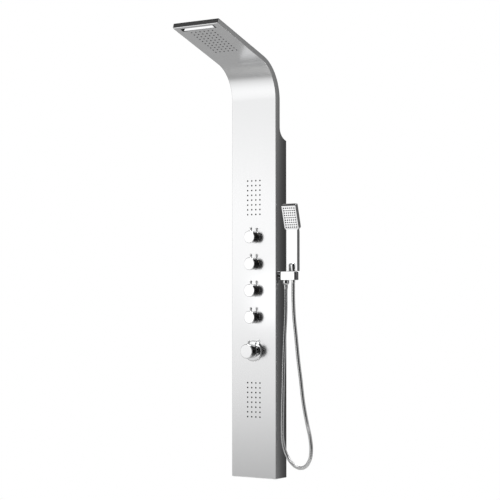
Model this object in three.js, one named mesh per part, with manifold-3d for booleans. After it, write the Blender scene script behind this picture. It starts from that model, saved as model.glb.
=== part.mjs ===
// Rainfall shower column: a folded stainless panel that hangs on the wall, with a rain head and a
// waterfall slot in its arm, two groups of body jets, four diverters, a mixer and a hand shower.
// Units are mm. The wall is the plane Y = 0, the front faces -Y, +X is the hand shower's side.
// Heights below are measured from the panel's bottom edge, and the whole column is then lowered
// so that its origin lies on the back of the upper wall plate.
import * as THREE from 'three';
import { mergeGeometries, mergeVertices } from 'three/addons/utils/BufferGeometryUtils.js';
import Module from 'manifold-3d';

const wasm = await Module();
wasm.setup();

// ---------------------------------------------------------------- driving dimensions
const MOUNT_HEIGHT = 1200;
const LOWER_PLATE_HEIGHT = 120;
const SHEET = 2;
const GAP = 0.3;
const PANEL_HALF_WIDTH = 100;
const INNER_HALF_WIDTH = PANEL_HALF_WIDTH - SHEET;
const FACE_Y = -76;
const BACK_Y = -1;

const BEND_HEIGHT = 1444;
const BEND_RADIUS = 140;
const BEND_STEPS = 12;
const ARM_ANGLE = THREE.MathUtils.degToRad(17.2);
const BEND_TURN = Math.PI / 2 - ARM_ANGLE;
const ARM_LENGTH = 312;
const ARM_THICKNESS = 19;
const NECK_THICKNESS = 27.5;
const STEP_TOP = 1335;
const STEP_BOTTOM = 1288;
const STEP_STEPS = 7;

const JET_PITCH = 18.5;
const JET_COLUMNS = 4;
const JET_ROWS = 8;
const UPPER_JETS_HEIGHT = 1069;
const LOWER_JETS_HEIGHT = 296;
const RAIN_COLUMNS = 6;
const RAIN_ROWS = 10;
const RAIN_FIRST_ROW = 48;
const NOZZLE_HOLE_RADIUS = 3;
const NOZZLE_RADIUS = 2.5;
const NOZZLE_SIDES = 4;
const NOZZLE_PROUD = 1;
const SLOT_HALF_LENGTH = 74;
const SLOT_FROM_TIP = 12.5;
const SLOT_WIDTH = 20.5;
const SPOUT_HALF_LENGTH = SLOT_HALF_LENGTH + 14;

const DIVERTER_HEIGHTS = [917, 815, 713, 611];
const DIVERTER_HOLE_RADIUS = 11.5;
const MIXER_HEIGHT = 482;
const MIXER_HOLE_RADIUS = 21.5;
const VALVE_Y = -54;
const INLET_X = 48;

const BLOCK_BOTTOM = 752.5;
const BLOCK_TOP = 785;
const BLOCK_START_X = 106.5;
const BLOCK_END_X = 169.5;
const BLOCK_FRONT_Y = -58;
const BLOCK_BACK_Y = -26;
const BLOCK_MIDDLE = (BLOCK_BOTTOM + BLOCK_TOP) / 2;
const STUB_END_X = 88;
const CRADLE_X = 155.5;
const CRADLE_Y = -42;
const CRADLE_RADIUS = 12.5;
const CRADLE_SLOT_HALF = 8;
const STUB_RADIUS = 9;
const STUB_HOLE_RADIUS = 9.6;
const OUTLET_X = 122.5;
const HANDSET_LEAN = THREE.MathUtils.degToRad(16);
const HOSE_RADIUS = 7;

// ---------------------------------------------------------------- materials
const material = (color, roughness, metalness) => () => (
  new THREE.MeshStandardMaterial({ color, roughness, metalness })
);
const brushedSteel = material(0xd6d8da, 0.38, 1);
const chrome = material(0xf2f4f6, 0.06, 1);
const zincSteel = material(0xb4b7ba, 0.45, 1);
const brass = material(0xb8934a, 0.35, 1);
const silicone = material(0x6f7478, 0.7, 0);
const whitePlastic = material(0xe9e9e6, 0.5, 0);
const greyPlastic = material(0x8e9296, 0.55, 0);
const waterPipe = material(0xf0f0ec, 0.45, 0);

// ---------------------------------------------------------------- geometry helpers
// Welds a closed geometry's shared vertices and drops triangles that have shrunk to a line.
function weld(geometry) {
  const copy = geometry.clone();
  copy.deleteAttribute('normal');
  copy.deleteAttribute('uv');
  const merged = mergeVertices(copy, 1e-4);
  const source = merged.index.array;
  const kept = [];
  for (let i = 0; i < source.length; i += 3) {
    const [a, b, c] = [source[i], source[i + 1], source[i + 2]];
    if (a !== b && b !== c && c !== a) kept.push(a, b, c);
  }
  merged.setIndex(kept);
  return facingOut(merged);
}

// Turns a closed geometry's triangles over if they face inward.
function facingOut(geometry) {
  const position = geometry.attributes.position;
  const index = geometry.index.array;
  const [a, b, c] = [new THREE.Vector3(), new THREE.Vector3(), new THREE.Vector3()];
  let volume = 0;
  for (let i = 0; i < index.length; i += 3) {
    a.fromBufferAttribute(position, index[i]);
    b.fromBufferAttribute(position, index[i + 1]);
    c.fromBufferAttribute(position, index[i + 2]);
    volume += a.dot(b.cross(c));
  }
  if (volume < 0) {
    const flipped = [];
    for (let i = 0; i < index.length; i += 3) flipped.push(index[i], index[i + 2], index[i + 1]);
    geometry.setIndex(flipped);
  }
  return geometry;
}

function toSolid(geometry) {
  const welded = weld(geometry);
  const vertProperties = Float32Array.from(welded.attributes.position.array);
  const triVerts = Uint32Array.from(welded.index.array);
  return new wasm.Manifold(new wasm.Mesh({ numProp: 3, vertProperties, triVerts }));
}

function toGeometry(solid) {
  const mesh = solid.getMesh();
  const geometry = new THREE.BufferGeometry();
  const positions = Float32Array.from(mesh.vertProperties);
  geometry.setAttribute('position', new THREE.BufferAttribute(positions, 3));
  geometry.setIndex(new THREE.BufferAttribute(Uint32Array.from(mesh.triVerts), 1));
  return geometry;
}

function cut(base, ...tools) {
  let solid = toSolid(base);
  for (const tool of tools) solid = solid.subtract(toSolid(tool));
  return toGeometry(solid);
}

function join(...pieces) {
  let solid = toSolid(pieces[0]);
  for (const piece of pieces.slice(1)) solid = solid.add(toSolid(piece));
  return toGeometry(solid);
}

function box(low, high) {
  const size = high.map((value, axis) => value - low[axis]);
  const geometry = new THREE.BoxGeometry(...size);
  geometry.translate(...low.map((value, axis) => value + size[axis] / 2));
  return geometry;
}

// A turned piece from a profile of [radius, distance] points. toward is the axis direction.
function turned(profile, toward, segments = 20) {
  const points = profile.map(([radius, distance]) => new THREE.Vector2(radius, distance));
  const geometry = weld(new THREE.LatheGeometry(points, segments));
  if (toward === 'front') geometry.rotateX(Math.PI);
  if (toward === 'up') geometry.rotateX(Math.PI / 2);
  if (toward === 'side') geometry.rotateZ(-Math.PI / 2);
  return geometry;
}

// A plain round bar along one of the same directions, from one distance to the other.
function bar(radius, from, to, toward, segments = 16) {
  return turned([[0, from], [radius, from], [radius, to], [0, to]], toward, segments);
}

// An outline in the side view, as [Y, Z] points, extruded across the column.
function sideExtrusion(outline, xLow, xHigh) {
  const shape = new THREE.Shape(outline.map(([y, z]) => new THREE.Vector2(y, z)));
  const geometry = new THREE.ExtrudeGeometry(shape, { depth: xHigh - xLow, bevelEnabled: false });
  geometry.translate(0, 0, xLow);
  geometry.applyMatrix4(new THREE.Matrix4().set(0, 0, 1, 0, 1, 0, 0, 0, 0, 1, 0, 0, 0, 0, 0, 1));
  return geometry;
}

// A rectangle with rounded corners, extruded upward.
function roundedBar(halfX, halfY, radius, zLow, zHigh) {
  const shape = new THREE.Shape();
  shape.absarc(halfX - radius, halfY - radius, radius, 0, Math.PI / 2);
  shape.absarc(radius - halfX, halfY - radius, radius, Math.PI / 2, Math.PI);
  shape.absarc(radius - halfX, radius - halfY, radius, Math.PI, 1.5 * Math.PI);
  shape.absarc(halfX - radius, radius - halfY, radius, 1.5 * Math.PI, 2 * Math.PI);
  const options = { depth: zHigh - zLow, bevelEnabled: false, curveSegments: 3 };
  const geometry = new THREE.ExtrudeGeometry(shape, options);
  geometry.translate(0, 0, zLow);
  return geometry;
}

// A round tube along a smooth curve through the points.
function tubeAlong(points, radius, steps, sides = 6) {
  const section = new THREE.Shape();
  for (let i = 0; i < sides; i += 1) {
    const angle = (2 * Math.PI * i) / sides;
    const [x, y] = [radius * Math.cos(angle), radius * Math.sin(angle)];
    if (i === 0) section.moveTo(x, y);
    else section.lineTo(x, y);
  }
  const vectors = points.map((point) => new THREE.Vector3(...point));
  const extrudePath = new THREE.CatmullRomCurve3(vectors, false, 'centripetal');
  return new THREE.ExtrudeGeometry(section, { steps, extrudePath, bevelEnabled: false });
}

// Centres of a nozzle grid as [across, along] pairs about the grid's middle.
function gridCentres(columns, rows) {
  const centres = [];
  for (let row = 0; row < rows; row += 1) {
    for (let column = 0; column < columns; column += 1) {
      centres.push([
        (column - (columns - 1) / 2) * JET_PITCH,
        (row - (rows - 1) / 2) * JET_PITCH,
      ]);
    }
  }
  return centres;
}

// A small prism per grid centre, joined into one geometry of separate bodies. The prisms run
// along Y, from low to high.
function gridPrisms(centres, radius, low, high, sides = 6) {
  return mergeGeometries(centres.map(([across, along]) => {
    const prism = new THREE.CylinderGeometry(radius, radius, high - low, sides);
    prism.translate(across, (low + high) / 2, along);
    return prism;
  }));
}

// ---------------------------------------------------------------- the panel's side profile
// Thickness of the neck and arm, where bend goes from 0 at the neck to 1 at the arm.
function thicknessAt(bend) {
  return NECK_THICKNESS + (ARM_THICKNESS - NECK_THICKNESS) * bend;
}

// A point at a depth behind the face, where bend goes from 0 at the neck to 1 at the arm.
function bendPoint(bend, depth) {
  const angle = BEND_TURN * bend;
  const radius = BEND_RADIUS + depth;
  return [FACE_Y - BEND_RADIUS + radius * Math.cos(angle), BEND_HEIGHT + radius * Math.sin(angle)];
}

// A point at a depth behind the arm's underside, at a distance along the arm from the bend.
function armPoint(distance, depth) {
  const [y, z] = bendPoint(1, depth);
  return [y - distance * Math.cos(ARM_ANGLE), z + distance * Math.sin(ARM_ANGLE)];
}

// The line at a depth behind the face, from the neck to the arm's end.
function faceLine(depth, armEnd) {
  const line = [];
  for (let i = 0; i <= BEND_STEPS; i += 1) line.push(bendPoint(i / BEND_STEPS, depth));
  line.push(armPoint(armEnd, depth));
  return line;
}

// The line of the arm's and neck's back, moved outward by clear, from the arm's end to the neck.
function backLine(clear, armEnd) {
  const line = [armPoint(armEnd, ARM_THICKNESS + clear)];
  for (let i = BEND_STEPS; i >= 0; i -= 1) {
    line.push(bendPoint(i / BEND_STEPS, thicknessAt(i / BEND_STEPS) + clear));
  }
  return line;
}

// The concave step where the neck widens into the body, moved inward by clear.
function stepLine(clear) {
  const neckBack = FACE_Y + NECK_THICKNESS;
  const curve = new THREE.QuadraticBezierCurve(
    new THREE.Vector2(neckBack, STEP_TOP),
    new THREE.Vector2(neckBack + 4, STEP_TOP - 36),
    new THREE.Vector2(BACK_Y, STEP_BOTTOM),
  );
  const line = [];
  for (let i = 0; i <= STEP_STEPS; i += 1) {
    const point = curve.getPoint(i / STEP_STEPS);
    const tangent = curve.getTangent(i / STEP_STEPS);
    line.push([point.x + clear * tangent.y, point.y - clear * tangent.x]);
  }
  return line;
}

const armFrame = new THREE.Matrix4()
  .makeTranslation(0, ...armPoint(ARM_LENGTH, 0))
  .multiply(new THREE.Matrix4().makeRotationX(-ARM_ANGLE));

// Moves a geometry made in the arm's frame into place. There +Y runs from the tip back along the
// arm, and +Z from the underside up.
function onArm(geometry) {
  return geometry.clone().applyMatrix4(armFrame);
}

const rainMiddle = RAIN_FIRST_ROW + ((RAIN_ROWS - 1) / 2) * JET_PITCH;
const rainCentres = gridCentres(RAIN_COLUMNS, RAIN_ROWS);
const jetCentres = gridCentres(JET_COLUMNS, JET_ROWS);

// Prisms through the arm's underside at the rain nozzles, from one height to the other.
function rainPrisms(radius, low, high, sides) {
  const prisms = gridPrisms(rainCentres, radius, -high, -low, sides);
  prisms.rotateX(-Math.PI / 2);
  prisms.translate(0, rainMiddle, 0);
  return prisms;
}

// ---------------------------------------------------------------- assembly
const column = new THREE.Group();
column.position.z = -MOUNT_HEIGHT;

function addPart(name, geometry, makeMaterial, parent = column) {
  const mesh = new THREE.Mesh(weld(geometry), makeMaterial());
  mesh.name = name;
  parent.add(mesh);
  return mesh;
}

function groupAt(x, y, z, parent = column) {
  const group = new THREE.Group();
  group.position.set(x, y, z);
  parent.add(group);
  return group;
}

// ---------------------------------------------------------------- folded panel and rear cover
function frontShell() {
  const outline = [
    [FACE_Y, 0],
    ...faceLine(0, ARM_LENGTH),
    ...backLine(0, ARM_LENGTH),
    ...stepLine(0),
    [BACK_Y, 0],
  ];
  const hollow = [
    [FACE_Y + SHEET, SHEET],
    ...faceLine(SHEET, ARM_LENGTH - SHEET),
    ...backLine(6, ARM_LENGTH - SHEET),
    [FACE_Y + NECK_THICKNESS + 6, STEP_TOP + 20],
    [BACK_Y + 8, STEP_TOP + 20],
    [BACK_Y + 8, SHEET],
  ];
  const throughFace = [FACE_Y - 3, FACE_Y + SHEET + 3];
  const holes = [
    gridPrisms(jetCentres, NOZZLE_HOLE_RADIUS, ...throughFace).translate(0, 0, UPPER_JETS_HEIGHT),
    gridPrisms(jetCentres, NOZZLE_HOLE_RADIUS, ...throughFace).translate(0, 0, LOWER_JETS_HEIGHT),
    onArm(rainPrisms(NOZZLE_HOLE_RADIUS, -3, SHEET + 3)),
    onArm(box(
      [-SLOT_HALF_LENGTH, SLOT_FROM_TIP, -3],
      [SLOT_HALF_LENGTH, SLOT_FROM_TIP + SLOT_WIDTH, SHEET + 3],
    )),
    bar(MIXER_HOLE_RADIUS, -5, 5, 'front', 20).translate(0, FACE_Y, MIXER_HEIGHT),
    bar(STUB_HOLE_RADIUS, PANEL_HALF_WIDTH - 5, PANEL_HALF_WIDTH + 5, 'side')
      .translate(0, CRADLE_Y, BLOCK_MIDDLE),
  ];
  for (const height of DIVERTER_HEIGHTS) {
    holes.push(bar(DIVERTER_HOLE_RADIUS, -5, 5, 'front').translate(0, FACE_Y, height));
  }
  return cut(
    sideExtrusion(outline, -PANEL_HALF_WIDTH, PANEL_HALF_WIDTH),
    sideExtrusion(hollow, -INNER_HALF_WIDTH, INNER_HALF_WIDTH),
    ...holes,
  );
}

// The cover lies between the panel's side flanges, along the back of the arm, neck and step.
function rearCover() {
  const armEnd = ARM_LENGTH - SHEET - GAP;
  const outer = [...backLine(0, armEnd), ...stepLine(0).slice(0, -1)];
  const inner = [...backLine(-SHEET, armEnd), ...stepLine(SHEET).slice(0, -1)];
  const halfWidth = INNER_HALF_WIDTH - GAP;
  return sideExtrusion([...outer, ...inner.reverse()], -halfWidth, halfWidth);
}

addPart('front_shell', frontShell(), brushedSteel);
addPart('rear_cover', rearCover(), brushedSteel);

// ---------------------------------------------------------------- wall plates, hangers, screws
const PLATE_HALF_LENGTH = 80;
const PLATE_HALF_HEIGHT = 30;
const PLATE_THICKNESS = 3;
const SCREW_X = 60;
const SCREW_DROP = 12;

// A plate with a shelf and an upturned lip, which the column's hanger hooks over.
function wallPlate() {
  const hook = [
    [0, -PLATE_HALF_HEIGHT],
    [0, PLATE_HALF_HEIGHT],
    [-PLATE_THICKNESS, PLATE_HALF_HEIGHT],
    [-PLATE_THICKNESS, 12.5],
    [-7.5, 12.5],
    [-7.5, 24],
    [-10, 24],
    [-10, 10],
    [-PLATE_THICKNESS, 10],
    [-PLATE_THICKNESS, -PLATE_HALF_HEIGHT],
  ];
  const screwHole = bar(2.8, -1, PLATE_THICKNESS + 1, 'front', 12);
  return cut(
    sideExtrusion(hook, -PLATE_HALF_LENGTH, PLATE_HALF_LENGTH),
    screwHole.clone().translate(-SCREW_X, 0, -SCREW_DROP),
    screwHole.clone().translate(SCREW_X, 0, -SCREW_DROP),
  );
}

// A cross-bar between the side flanges with a lip that drops behind the wall plate's lip.
function hangerBar() {
  const section = [
    [-18, -25],
    [-15.5, -25],
    [-15.5, 32.5],
    [-6.6, 32.5],
    [-6.6, 12.8],
    [-4.1, 12.8],
    [-4.1, 35],
    [-18, 35],
  ];
  return sideExtrusion(section, GAP - INNER_HALF_WIDTH, INNER_HALF_WIDTH - GAP);
}

const screwProfile = [
  [0, 0.2], [2.4, 0.2], [2.4, PLATE_THICKNESS + GAP], [4.8, PLATE_THICKNESS + GAP],
  [4.4, 5.4], [2.6, 6.4], [0, 6.4],
];

for (const [place, height] of [['upper', MOUNT_HEIGHT], ['lower', LOWER_PLATE_HEIGHT]]) {
  const group = groupAt(0, 0, height);
  addPart(`wall_plate_${place}`, wallPlate(), zincSteel, group);
  addPart(`hanger_${place}`, hangerBar(), zincSteel, group);
  for (const [side, x] of [['left', -SCREW_X], ['right', SCREW_X]]) {
    const screw = turned(screwProfile, 'front', 12).translate(x, 0, -SCREW_DROP);
    addPart(`wall_screw_${place}_${side}`, screw, zincSteel, group);
  }
}

// ---------------------------------------------------------------- body jets
const MAT_EDGE = 12;
const MAT_THICKNESS = 2.5;
const CHAMBER_WALL = 4;
const CHAMBER_DEPTH = 23.5;
const jetHalfAcross = ((JET_COLUMNS - 1) / 2) * JET_PITCH + MAT_EDGE;
const jetHalfAlong = ((JET_ROWS - 1) / 2) * JET_PITCH + MAT_EDGE;
const matFront = FACE_Y + SHEET + GAP;

function jetNozzleMat() {
  const plate = box(
    [-jetHalfAcross, matFront, -jetHalfAlong],
    [jetHalfAcross, matFront + MAT_THICKNESS, jetHalfAlong],
  );
  const nozzles = gridPrisms(
    jetCentres,
    NOZZLE_RADIUS,
    FACE_Y - NOZZLE_PROUD,
    matFront + 1,
    NOZZLE_SIDES,
  );
  return join(plate, nozzles);
}

// A tray open to the front, which the nozzle mat closes against the panel.
function jetChamber() {
  const [outX, outZ] = [jetHalfAcross + 1 + CHAMBER_WALL, jetHalfAlong + 1 + CHAMBER_WALL];
  const [inX, inZ] = [jetHalfAcross + 1, jetHalfAlong + 1];
  return cut(
    box([-outX, matFront, -outZ], [outX, matFront + CHAMBER_DEPTH, outZ]),
    box([-inX, matFront - 1, -inZ], [inX, matFront + CHAMBER_DEPTH - 3, inZ]),
  );
}

for (const [place, height] of [['upper', UPPER_JETS_HEIGHT], ['lower', LOWER_JETS_HEIGHT]]) {
  const group = groupAt(0, 0, height);
  addPart(`${place}_jet_nozzle_mat`, jetNozzleMat(), silicone, group);
  addPart(`${place}_jet_chamber`, jetChamber(), whitePlastic, group);
}

// ---------------------------------------------------------------- rain head and waterfall
const HEAD_ROOM = 15.5;
const rainHalfAcross = ((RAIN_COLUMNS - 1) / 2) * JET_PITCH + MAT_EDGE;
const rainHalfAlong = ((RAIN_ROWS - 1) / 2) * JET_PITCH + MAT_EDGE - 2;
const rainBackEdge = rainMiddle + rainHalfAlong + 4;
const spoutBackEdge = SLOT_FROM_TIP + SLOT_WIDTH + 3;

function rainNozzleMat() {
  const bottom = SHEET + GAP;
  const plate = box(
    [-rainHalfAcross, rainMiddle - rainHalfAlong, bottom],
    [rainHalfAcross, rainMiddle + rainHalfAlong, bottom + MAT_THICKNESS],
  );
  const nozzles = rainPrisms(NOZZLE_RADIUS, -NOZZLE_PROUD, bottom + 1, NOZZLE_SIDES);
  return onArm(join(plate, nozzles));
}

function rainChamber() {
  const [inX, outX] = [rainHalfAcross + 0.5, rainHalfAcross + 4];
  return onArm(cut(
    box([-outX, rainMiddle - rainHalfAlong - 1.5, SHEET + GAP], [outX, rainBackEdge, HEAD_ROOM]),
    box(
      [-inX, rainMiddle - rainHalfAlong - 0.5, SHEET - 1],
      [inX, rainMiddle + rainHalfAlong + 0.5, HEAD_ROOM - 2.5],
    ),
  ));
}

// A trough across the arm's tip, open downward through the panel's slot.
function waterfallSpout() {
  return onArm(cut(
    box(
      [-SPOUT_HALF_LENGTH, SLOT_FROM_TIP - 5, SHEET + GAP],
      [SPOUT_HALF_LENGTH, spoutBackEdge, HEAD_ROOM],
    ),
    box(
      [-SLOT_HALF_LENGTH, SLOT_FROM_TIP, SHEET - 1],
      [SLOT_HALF_LENGTH, SLOT_FROM_TIP + SLOT_WIDTH, HEAD_ROOM - 3],
    ),
  ));
}

addPart('rain_nozzle_mat', rainNozzleMat(), silicone);
addPart('rain_chamber', rainChamber(), whitePlastic);
addPart('waterfall_spout', waterfallSpout(), chrome);

// ---------------------------------------------------------------- diverter valves
// Profiles below are [radius, distance in front of the panel's face].
const MANIFOLD_HALF_WIDTH = 22;
const MANIFOLD_FRONT = 6;
const MANIFOLD_BACK = 38;
const MANIFOLD_BOTTOM = 585;
const MANIFOLD_TOP = 945;
const SPINDLE_RADIUS = 4;
const BORE_RADIUS = SPINDLE_RADIUS + GAP;
const KNOB_RADIUS = 24;
const KNOB_FRONT = 34;
const KNOB_PEG_AT = 20.6;
const CARTRIDGE_POCKET_RADIUS = 13.2;

const cartridgeProfile = [
  [0, -31.7], [12.9, -31.7], [12.9, -5.7], [16, -5.7], [16, -2.4], [11, -2.4], [11, 8],
  [BORE_RADIUS, 8], [BORE_RADIUS, -10], [0, -10],
];
const knobProfile = [
  [0, KNOB_FRONT], [22.2, KNOB_FRONT], [KNOB_RADIUS, 32], [KNOB_RADIUS, 2.6], [20.5, 2.6],
  [20.5, 28], [7.5, 28], [7.5, 10], [BORE_RADIUS, 10], [BORE_RADIUS, 23], [0, 23],
];

// A radial lever peg with a stub in the knob's wall, pointing up, from the knob's radius.
function leverPeg(radius) {
  return turned([
    [0, radius - 3], [2, radius - 3], [2, radius + 0.4], [2.9, radius + 0.4],
    [3.1, radius + 4], [4, radius + 9], [4, radius + 11.5], [2.9, radius + 13.8], [0, radius + 14.6],
  ], 'up', 10);
}

function knobWithPegHole(profile, radius, pegAt) {
  const pegHole = bar(2.3, radius - 6, radius + 3, 'up', 10).translate(0, -pegAt, 0);
  return cut(turned(profile, 'front', 20), pegHole);
}

const manifold = cut(
  box(
    [-MANIFOLD_HALF_WIDTH, FACE_Y + MANIFOLD_FRONT, MANIFOLD_BOTTOM],
    [MANIFOLD_HALF_WIDTH, FACE_Y + MANIFOLD_BACK, MANIFOLD_TOP],
  ),
  ...DIVERTER_HEIGHTS.map((height) => (
    bar(CARTRIDGE_POCKET_RADIUS, -32, 0, 'front').translate(0, FACE_Y, height)
  )),
);
addPart('diverter_manifold', manifold, brass);

DIVERTER_HEIGHTS.forEach((height, i) => {
  const group = groupAt(0, FACE_Y, height);
  const number = i + 1;
  addPart(`diverter_cartridge_${number}`, turned(cartridgeProfile, 'front', 12), brass, group);
  addPart(`diverter_spindle_${number}`, bar(SPINDLE_RADIUS, -9.7, 22.7, 'front', 10), brass, group);
  const knob = knobWithPegHole(knobProfile, KNOB_RADIUS, KNOB_PEG_AT);
  addPart(`diverter_knob_${number}`, knob, chrome, group);
  addPart(
    `diverter_lever_${number}`,
    leverPeg(KNOB_RADIUS).translate(0, -KNOB_PEG_AT, 0),
    chrome,
    group,
  );
});

// ---------------------------------------------------------------- mixer valve
const MIXER_RADIUS = 27.25;
const MIXER_PEG_AT = 35.4;
const MIXER_BORE_RADIUS = 18.5;
const MIXER_POCKET_RADIUS = 21.2;
const mixerGroup = groupAt(0, FACE_Y, MIXER_HEIGHT);

const mixerBodyProfile = [
  [0, -44], [26, -44], [26, -2.6], [MIXER_POCKET_RADIUS, -2.6], [MIXER_POCKET_RADIUS, -10],
  [MIXER_BORE_RADIUS, -10], [MIXER_BORE_RADIUS, -34], [0, -34],
];
const inletArm = bar(13, -62, 62, 'side', 16).translate(0, VALVE_Y - FACE_Y, 0);
const mixerBody = cut(
  join(turned(mixerBodyProfile, 'front', 20), inletArm),
  bar(MIXER_BORE_RADIUS, -34, 0, 'front', 20),
  bar(MIXER_POCKET_RADIUS, -10, 0, 'front', 20),
);
addPart('mixer_body', mixerBody, brass, mixerGroup);
addPart('mixer_cartridge', bar(18.2, -33.7, 5, 'front', 20), greyPlastic, mixerGroup);
addPart('mixer_bonnet', turned([
  [20.7, -9.7], [20.7, 5], [19.2, 9], [15.5, 14], [10.5, 17.5], [8.6, 18.2], [8.6, 16.2],
  [13.5, 12.5], [17, 7.5], [18.5, 5.5], [18.5, -9.7], [20.7, -9.7],
], 'front', 18), chrome, mixerGroup);
addPart('mixer_escutcheon', turned([
  [21.2, 0.3], [40, 0.3], [40, 2.2], [38.6, 4], [33.5, 6.4], [27.5, 8.2], [23.5, 9.2],
  [21.2, 9.2], [21.2, 0.3],
], 'front', 24), chrome, mixerGroup);
addPart('mixer_swivel_collar', bar(11, 5.4, 9.6, 'front', 16), greyPlastic, mixerGroup);
addPart('mixer_lever_stem', bar(SPINDLE_RADIUS, 11.5, 40.7, 'front', 10), brass, mixerGroup);
const handleProfile = [
  [0, 54.3], [25.2, 54.3], [MIXER_RADIUS, 52.2], [MIXER_RADIUS, 18], [23.5, 18], [23.5, 49],
  [8, 49], [8, 24], [BORE_RADIUS, 24], [BORE_RADIUS, 41], [0, 41],
];
const mixerHandle = knobWithPegHole(handleProfile, MIXER_RADIUS, MIXER_PEG_AT);
addPart('mixer_handle', mixerHandle, chrome, mixerGroup);
addPart('mixer_lever', leverPeg(MIXER_RADIUS).translate(0, -MIXER_PEG_AT, 0), chrome, mixerGroup);

// Threaded inlets that point down, for the hot and cold supply hoses.
const inletProfile = [
  [0, -13.4], [13.5, -13.4], [13.5, -27], [10.4, -28.5], [10.4, -52], [7.4, -52], [7.4, -18],
  [0, -18],
];
for (const [name, x] of [['hot_inlet', -INLET_X], ['cold_inlet', INLET_X]]) {
  addPart(name, turned(inletProfile, 'up', 16).translate(x, VALVE_Y - FACE_Y, 0), brass, mixerGroup);
}

// ---------------------------------------------------------------- water pipes
const PIPE_RADIUS = 5;
const PIPE_GAP = 1;
const PIPE_DEPTH_IN_NECK = 14;
const PIPE_DEPTH_IN_ARM = 9.2;
const sidePort = MANIFOLD_HALF_WIDTH + PIPE_GAP;
const topPort = MANIFOLD_TOP + PIPE_GAP;
const jetChamberEnd = jetHalfAlong + 1 + CHAMBER_WALL + PIPE_GAP;

// The stretch of a pipe through the neck, the bend and the arm, to a distance from the tip.
function alongNeckAndArm(x, fromTip) {
  const neckY = FACE_Y + PIPE_DEPTH_IN_NECK;
  const points = [[x, neckY, 1350], [x, neckY, 1400], [x, neckY, BEND_HEIGHT]];
  for (const bend of [0.2, 0.4, 0.6, 0.8, 1]) {
    const depth = PIPE_DEPTH_IN_NECK + (PIPE_DEPTH_IN_ARM - PIPE_DEPTH_IN_NECK) * bend;
    points.push([x, ...bendPoint(bend, depth)]);
  }
  const straight = ARM_LENGTH - fromTip;
  points.push([x, ...armPoint(straight / 2, PIPE_DEPTH_IN_ARM)]);
  points.push([x, ...armPoint(straight, PIPE_DEPTH_IN_ARM)]);
  return points;
}

addPart('mixed_water_pipe', bar(7, MIXER_HEIGHT + 26.4, MANIFOLD_BOTTOM - GAP, 'up', 12)
  .translate(0, VALVE_Y, 0), waterPipe);
addPart('rain_pipe', tubeAlong([
  [-11, VALVE_Y, topPort], [-11, -53, 960], [-11, -38, 985], [-11, -31, 1015], [-11, -31, 1120],
  [-11, -33, 1200], [-11, -45, 1250], [-11, -59, 1300],
  ...alongNeckAndArm(-11, rainBackEdge + PIPE_GAP),
], PIPE_RADIUS + 0.5, 28), waterPipe);
addPart('waterfall_pipe', tubeAlong([
  [11, VALVE_Y, topPort], [11, -53, 960], [14, -38, 985], [28, -31, 1030], [56, -31, 1110],
  [76, -33, 1200], [78, -45, 1250], [78, -59, 1300],
  ...alongNeckAndArm(78, spoutBackEdge + PIPE_GAP),
], PIPE_RADIUS - 0.5, 30), waterPipe);
addPart('upper_jet_pipe', tubeAlong([
  [sidePort, VALVE_Y, 866], [38, VALVE_Y, 868], [50, -55, 890], [48, -58, 928], [34, -61, 955],
  [25, -62, 970], [25, -62, UPPER_JETS_HEIGHT - jetChamberEnd],
], PIPE_RADIUS, 12), waterPipe);
addPart('lower_jet_pipe', tubeAlong([
  [sidePort, VALVE_Y, 660], [40, VALVE_Y, 658], [62, VALVE_Y, 630], [72, -53, 560], [72, -53, 470],
  [60, -56, 420], [36, -61, 400], [26, -62, 391], [25, -62, LOWER_JETS_HEIGHT + jetChamberEnd],
], PIPE_RADIUS, 18), waterPipe);
addPart('handset_pipe', tubeAlong([
  [sidePort, VALVE_Y, 760], [38, VALVE_Y, 760], [58, -50, 763], [74, -44, 767],
  [STUB_END_X - PIPE_GAP, CRADLE_Y, BLOCK_MIDDLE],
], PIPE_RADIUS, 10), waterPipe);

// ---------------------------------------------------------------- holder with water outlet
const blockHalfX = (BLOCK_END_X - BLOCK_START_X) / 2;
const blockMiddleX = BLOCK_END_X - blockHalfX;
const blockHalfY = (BLOCK_BACK_Y - BLOCK_FRONT_Y) / 2;

function holderBlock() {
  const block = roundedBar(blockHalfX, blockHalfY, 2.5, BLOCK_BOTTOM, BLOCK_TOP)
    .translate(blockMiddleX, CRADLE_Y, 0);
  const stub = bar(STUB_RADIUS, STUB_END_X, BLOCK_START_X + 2, 'side')
    .translate(0, CRADLE_Y, BLOCK_MIDDLE);
  const cradleBore = bar(CRADLE_RADIUS, BLOCK_BOTTOM - 5, BLOCK_TOP + 5, 'up', 20)
    .translate(CRADLE_X, CRADLE_Y, 0);
  return cut(join(block, stub), cradleBore, cradleSlot());
}

// The slot in the block's end that lets the hose out sideways.
function cradleSlot() {
  return box(
    [CRADLE_X, CRADLE_Y - CRADLE_SLOT_HALF, BLOCK_BOTTOM - 5],
    [BLOCK_END_X + 5, CRADLE_Y + CRADLE_SLOT_HALF, BLOCK_TOP + 5],
  );
}

// A plastic bush with a conical seat, slotted like the block around it.
function cradleLiner() {
  const blockHeight = BLOCK_TOP - BLOCK_BOTTOM;
  const outside = CRADLE_RADIUS - GAP;
  const ring = turned([
    [8, GAP], [outside, GAP], [outside, blockHeight - GAP], [8.8, blockHeight - GAP],
    [8, GAP],
  ], 'up', 20).translate(CRADLE_X, CRADLE_Y, BLOCK_BOTTOM);
  return cut(ring, cradleSlot());
}

addPart('holder_block', holderBlock(), chrome);
addPart('cradle_liner', cradleLiner(), greyPlastic);
addPart('hose_outlet_nut', turned([
  [0, -0.3], [12.2, -0.3], [13.2, -1.6], [13.2, -11], [11.5, -15], [8.4, -18], [0, -18],
], 'up', 16).translate(OUTLET_X, CRADLE_Y, BLOCK_BOTTOM), chrome);
addPart('hose_outlet_ferrule', bar(7.9, -34.5, -18.3, 'up', 16)
  .translate(OUTLET_X, CRADLE_Y, BLOCK_BOTTOM), chrome);

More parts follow.
